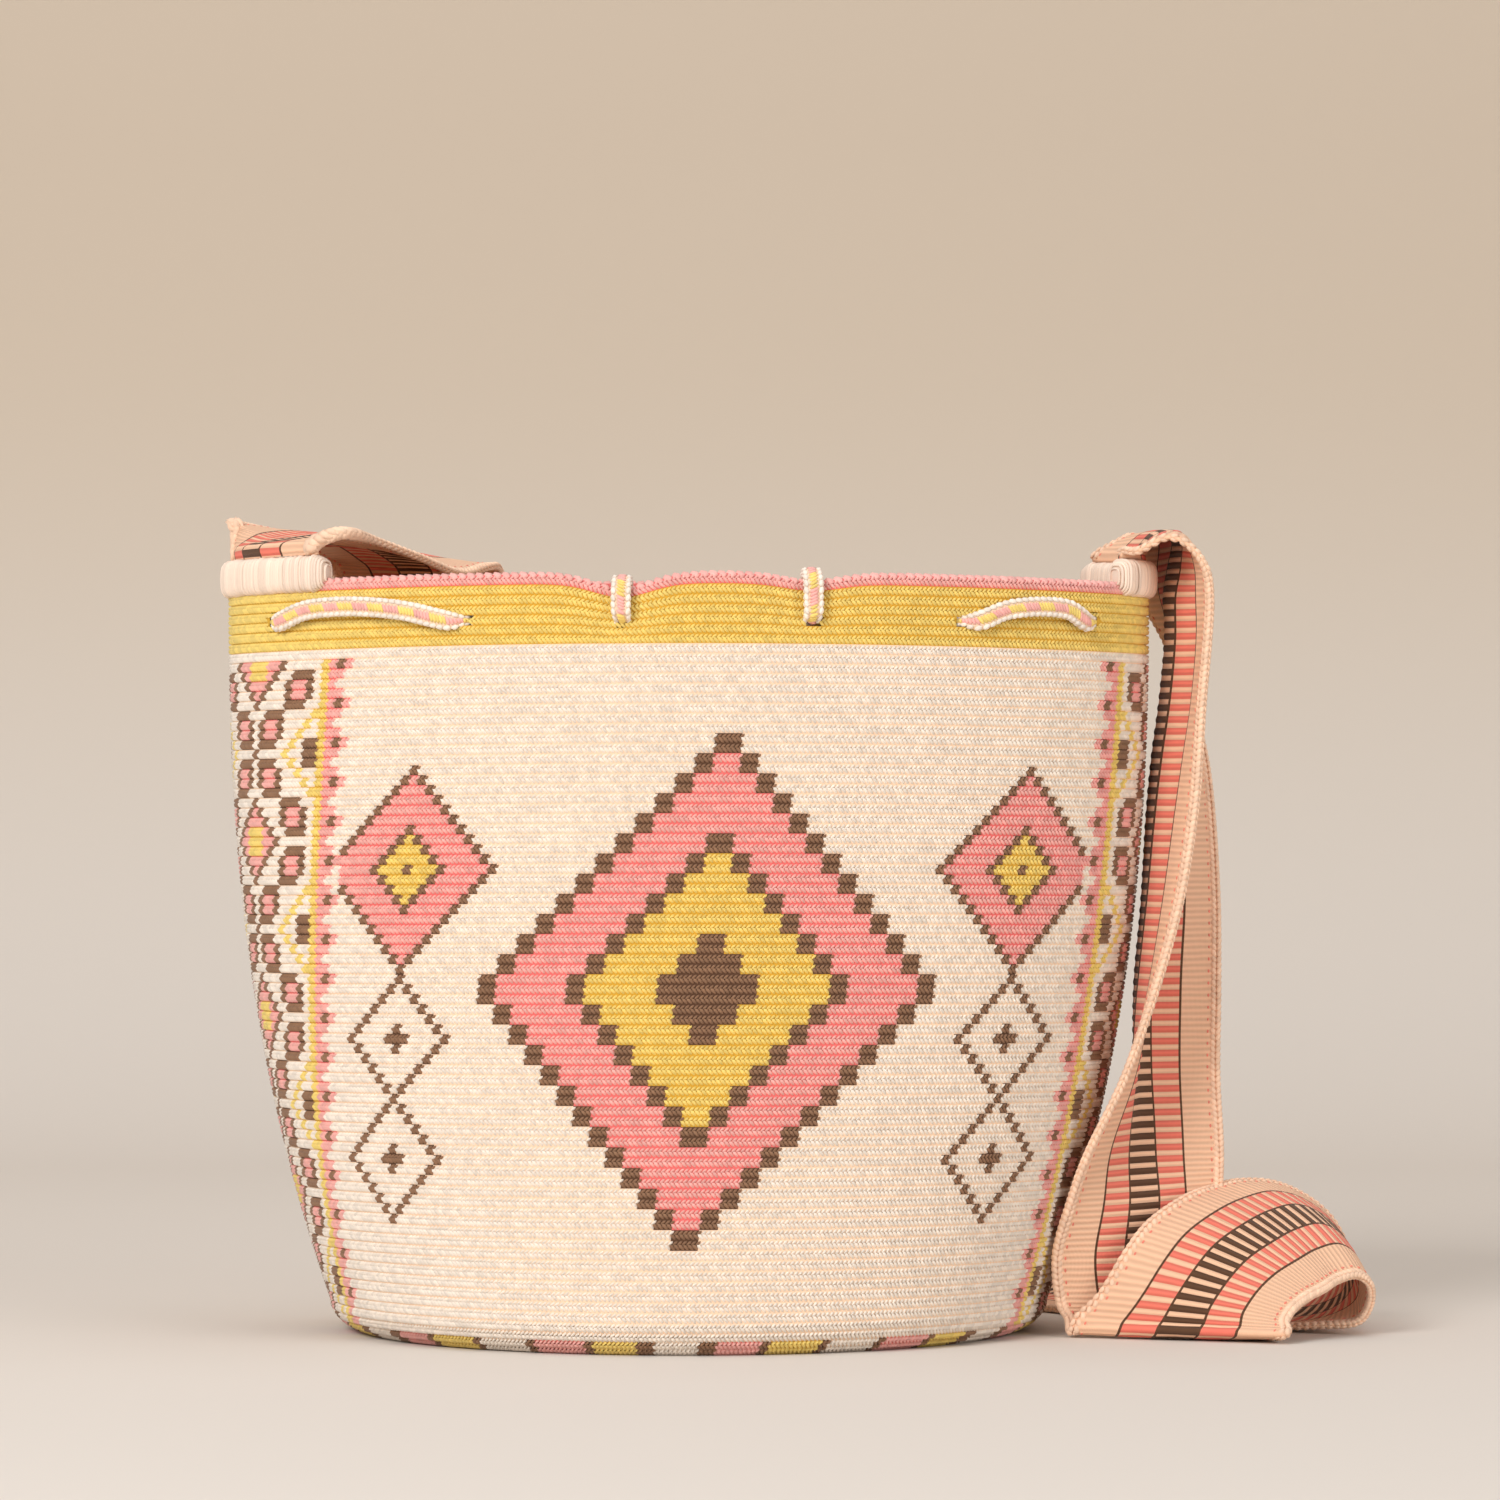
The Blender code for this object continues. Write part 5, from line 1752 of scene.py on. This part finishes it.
    def build(self) -> None:
        """Make and finish the cord."""
        line = self.frame_along()
        core = self.core(line)
        # The core takes the darker cream ground: painted shade between the cord's strokes.
        core.data.materials.append(SHADED_GROUND[Yarn.CREAM].material())
        finish_piece(core, "braided_cord", "drawstring")
        grain = SHAPES.grain(3, 5)
        for yarn, strokes in self.strokes(line).items():
            piece = strokes.lay(f"drawstring_{yarn.name.lower()}_strokes", grain, CROCHET[yarn])
            finish_piece(piece, "braided_cord", "drawstring")
        bpy.data.objects.remove(grain)


@dataclass(frozen=True)
class CordTassel:
    """Knot and short tassel on the end of one of the cord's tails.

    Attributes:
        name: the piece's name.
        node: the CAD node that it replaces.
        cord: the drawstring that it hangs on.
        angle: the tail's angle.
        knot: radius of the knot.
        length: length of the cut yarn.
        strands: number of strands.
    """

    name: str
    node: str
    cord: Drawstring
    angle: float
    knot: float = 0.0075
    length: float = 0.034
    strands: int = 70

    def build(self) -> None:
        """Lay knot and strands as long grains about the plumb line."""
        axis = self.cord.tail_axis(self.angle)
        top = float(self.cord.outline.rim_height(self.angle)) - self.cord.tail - 0.0003
        grain = SHAPES.grain(5, 6)
        golden = math.pi * (3 - math.sqrt(5))
        k = np.arange(self.strands)
        spread = np.sqrt((k + 0.5) / self.strands)
        turn = k * golden
        out, _ = around(turn)
        foot = top - 2.2 * self.knot - self.length / 2
        middle = np.array((axis[0], axis[1], foot)) + out * (spread * 0.0062)[:, None]
        along = unit(-UP + out * (spread * 0.07)[:, None])
        size = np.tile((self.length * 1.08, 0.0019, 0.0019), (self.strands, 1))
        parts = [Stitches(middle, along, out, size)]
        rounds, count = 7, 12
        for ring in range(rounds):
            lift = math.pi * (ring + 0.5) / rounds
            radius = self.knot * 0.78 * math.sin(lift)
            z = top - self.knot * 0.95 * (1 - math.cos(lift))
            turn = 2 * math.pi * (np.arange(count) + ring / 2) / count
            out, side = around(turn)
            facing = unit(out * math.sin(lift) + UP * math.cos(lift))
            along = unit(side + UP * 0.35)
            middle = np.array((axis[0], axis[1], z)) + out * radius
            size = np.tile((max(radius, 0.002) * 0.95, 0.0026, 0.0024), (count, 1))
            parts.append(Stitches(middle, along, facing, size))
        out, side = around(2 * math.pi * np.arange(14) / 14)
        for drop in (0.0, 0.0016, 0.0032):
            neck = np.array((axis[0], axis[1], top - 1.75 * self.knot - drop)) + out * 0.0052
            parts.append(Stitches(neck, side, out, np.tile((0.0036, 0.0018, 0.0018), (14, 1))))
        piece = Stitches.joined(parts).lay(self.name, grain, CROCHET[Yarn.CORAL])
        finish_piece(piece, "coral_tassel", self.node)
        bpy.data.objects.remove(grain)


# Camera, floor and light


@dataclass(frozen=True)
class Studio:
    """Level camera, a pale floor that sweeps up behind, and soft lamps.

    Attributes:
        camera: the camera's place.
        lens: focal length on a 36 mm sensor, in millimetres.
        floor: half width of the floor.
        sweep: radius of the bend behind.
        back: how far behind the bag the backdrop stands.
        height: height of the backdrop.
    """

    camera: Triple = (0.0235, -2.600, 0.222)
    lens: float = 162.24
    floor: float = 4.0
    sweep: float = 0.6
    back: float = 1.6
    height: float = 3.0

    def build_camera(self) -> None:
        """Set the camera."""
        data = bpy.data.cameras.new("camera")
        data.lens = self.lens
        data.sensor_width = 36.0
        data.clip_start = 0.05
        camera = bpy.data.objects.new("camera", data)
        camera.location = self.camera
        camera.rotation_euler = (math.radians(90), 0.0, 0.0)
        bpy.context.scene.collection.objects.link(camera)
        bpy.context.scene.camera = camera

    def build_floor(self) -> None:
        """The floor and the backdrop in one sweep."""
        profile = [(-4.0, 0.0)]
        for k in range(13):
            turn = math.pi / 2 * k / 12
            profile.append((self.back - self.sweep + self.sweep * math.sin(turn),
                            self.sweep * (1 - math.cos(turn))))
        profile.append((self.back, self.height))
        points = [(x, y, z) for y, z in profile for x in (-self.floor, self.floor)]
        faces = [(2 * k, 2 * k + 1, 2 * k + 3, 2 * k + 2) for k in range(len(profile) - 1)]
        floor = add_mesh("studio_floor", np.array(points), faces)
        paper = PlainFinish("pale_paper", (0.87, 0.835, 0.80), (0.82, 0.755, 0.68))
        floor.data.materials.append(paper.material())

    def add_lamp(self, name: str, place: Triple, size: float, power: float) -> None:
        """A square area lamp aimed at the bag.

        Args:
            name: the lamp's name.
            place: where it hangs.
            size: its side.
            power: its power in watts.
        """
        data = bpy.data.lights.new(name, "AREA")
        data.size = size
        data.energy = power
        lamp = bpy.data.objects.new(name, data)
        aim = np.array((0.0, 0.0, 0.15)) - np.array(place)
        lamp.location = place
        lamp.rotation_euler = (math.acos(-aim[2] / np.linalg.norm(aim)), 0.0,
                               math.atan2(aim[1], aim[0]) - math.pi / 2)
        bpy.context.scene.collection.objects.link(lamp)

    def build_light(self) -> None:
        """The lamps and a faint even surround."""
        self.add_lamp("key_lamp", (-1.5, -2.3, 1.7), 1.3, 60.0)
        self.add_lamp("fill_lamp", (2.2, -2.0, 1.0), 1.8, 24.0)
        self.add_lamp("top_lamp", (0.0, 0.2, 2.6), 2.0, 16.0)
        world = bpy.data.worlds.new("surround")
        world.use_nodes = True
        surround = world.node_tree.nodes["Background"]
        surround.inputs["Color"].default_value = (1.0, 1.0, 1.0, 1.0)
        surround.inputs["Strength"].default_value = 0.40
        bpy.context.scene.world = world
        bpy.context.scene.view_settings.view_transform = "Standard"


def main() -> None:
    """Build the studio and then every sub-assembly in turn."""
    logging.basicConfig(level=logging.INFO, format="%(message)s")
    studio = Studio()
    studio.build_camera()
    studio.build_floor()
    studio.build_light()
    runs = ((241.5, 206.5), (151.0, 126.0), (102.0, 78.0), (54.0, 29.0), (-29.0, -54.0))
    eyelets = (*OUTLINE.tails, *(angle % 360 for run in runs for angle in run))
    CrochetedBody(OUTLINE, Pattern(), eyelets).build()
    strap = ShoulderStrap(OUTLINE)
    strap.build()
    StrapStitching("left_strap_wraps", "left_strap_stitching", OUTLINE, strap.left_angle).build()
    StrapStitching("right_strap_wraps", "right_strap_stitching", OUTLINE, strap.right_angle).build()
    cord = Drawstring(OUTLINE, runs)
    cord.build()
    for side, angle in zip(("left", "right"), OUTLINE.tails):
        CordTassel(f"{side}_tassel", f"{side}_cord_tassel", cord, angle).build()


if __name__ == "__main__":
    main()
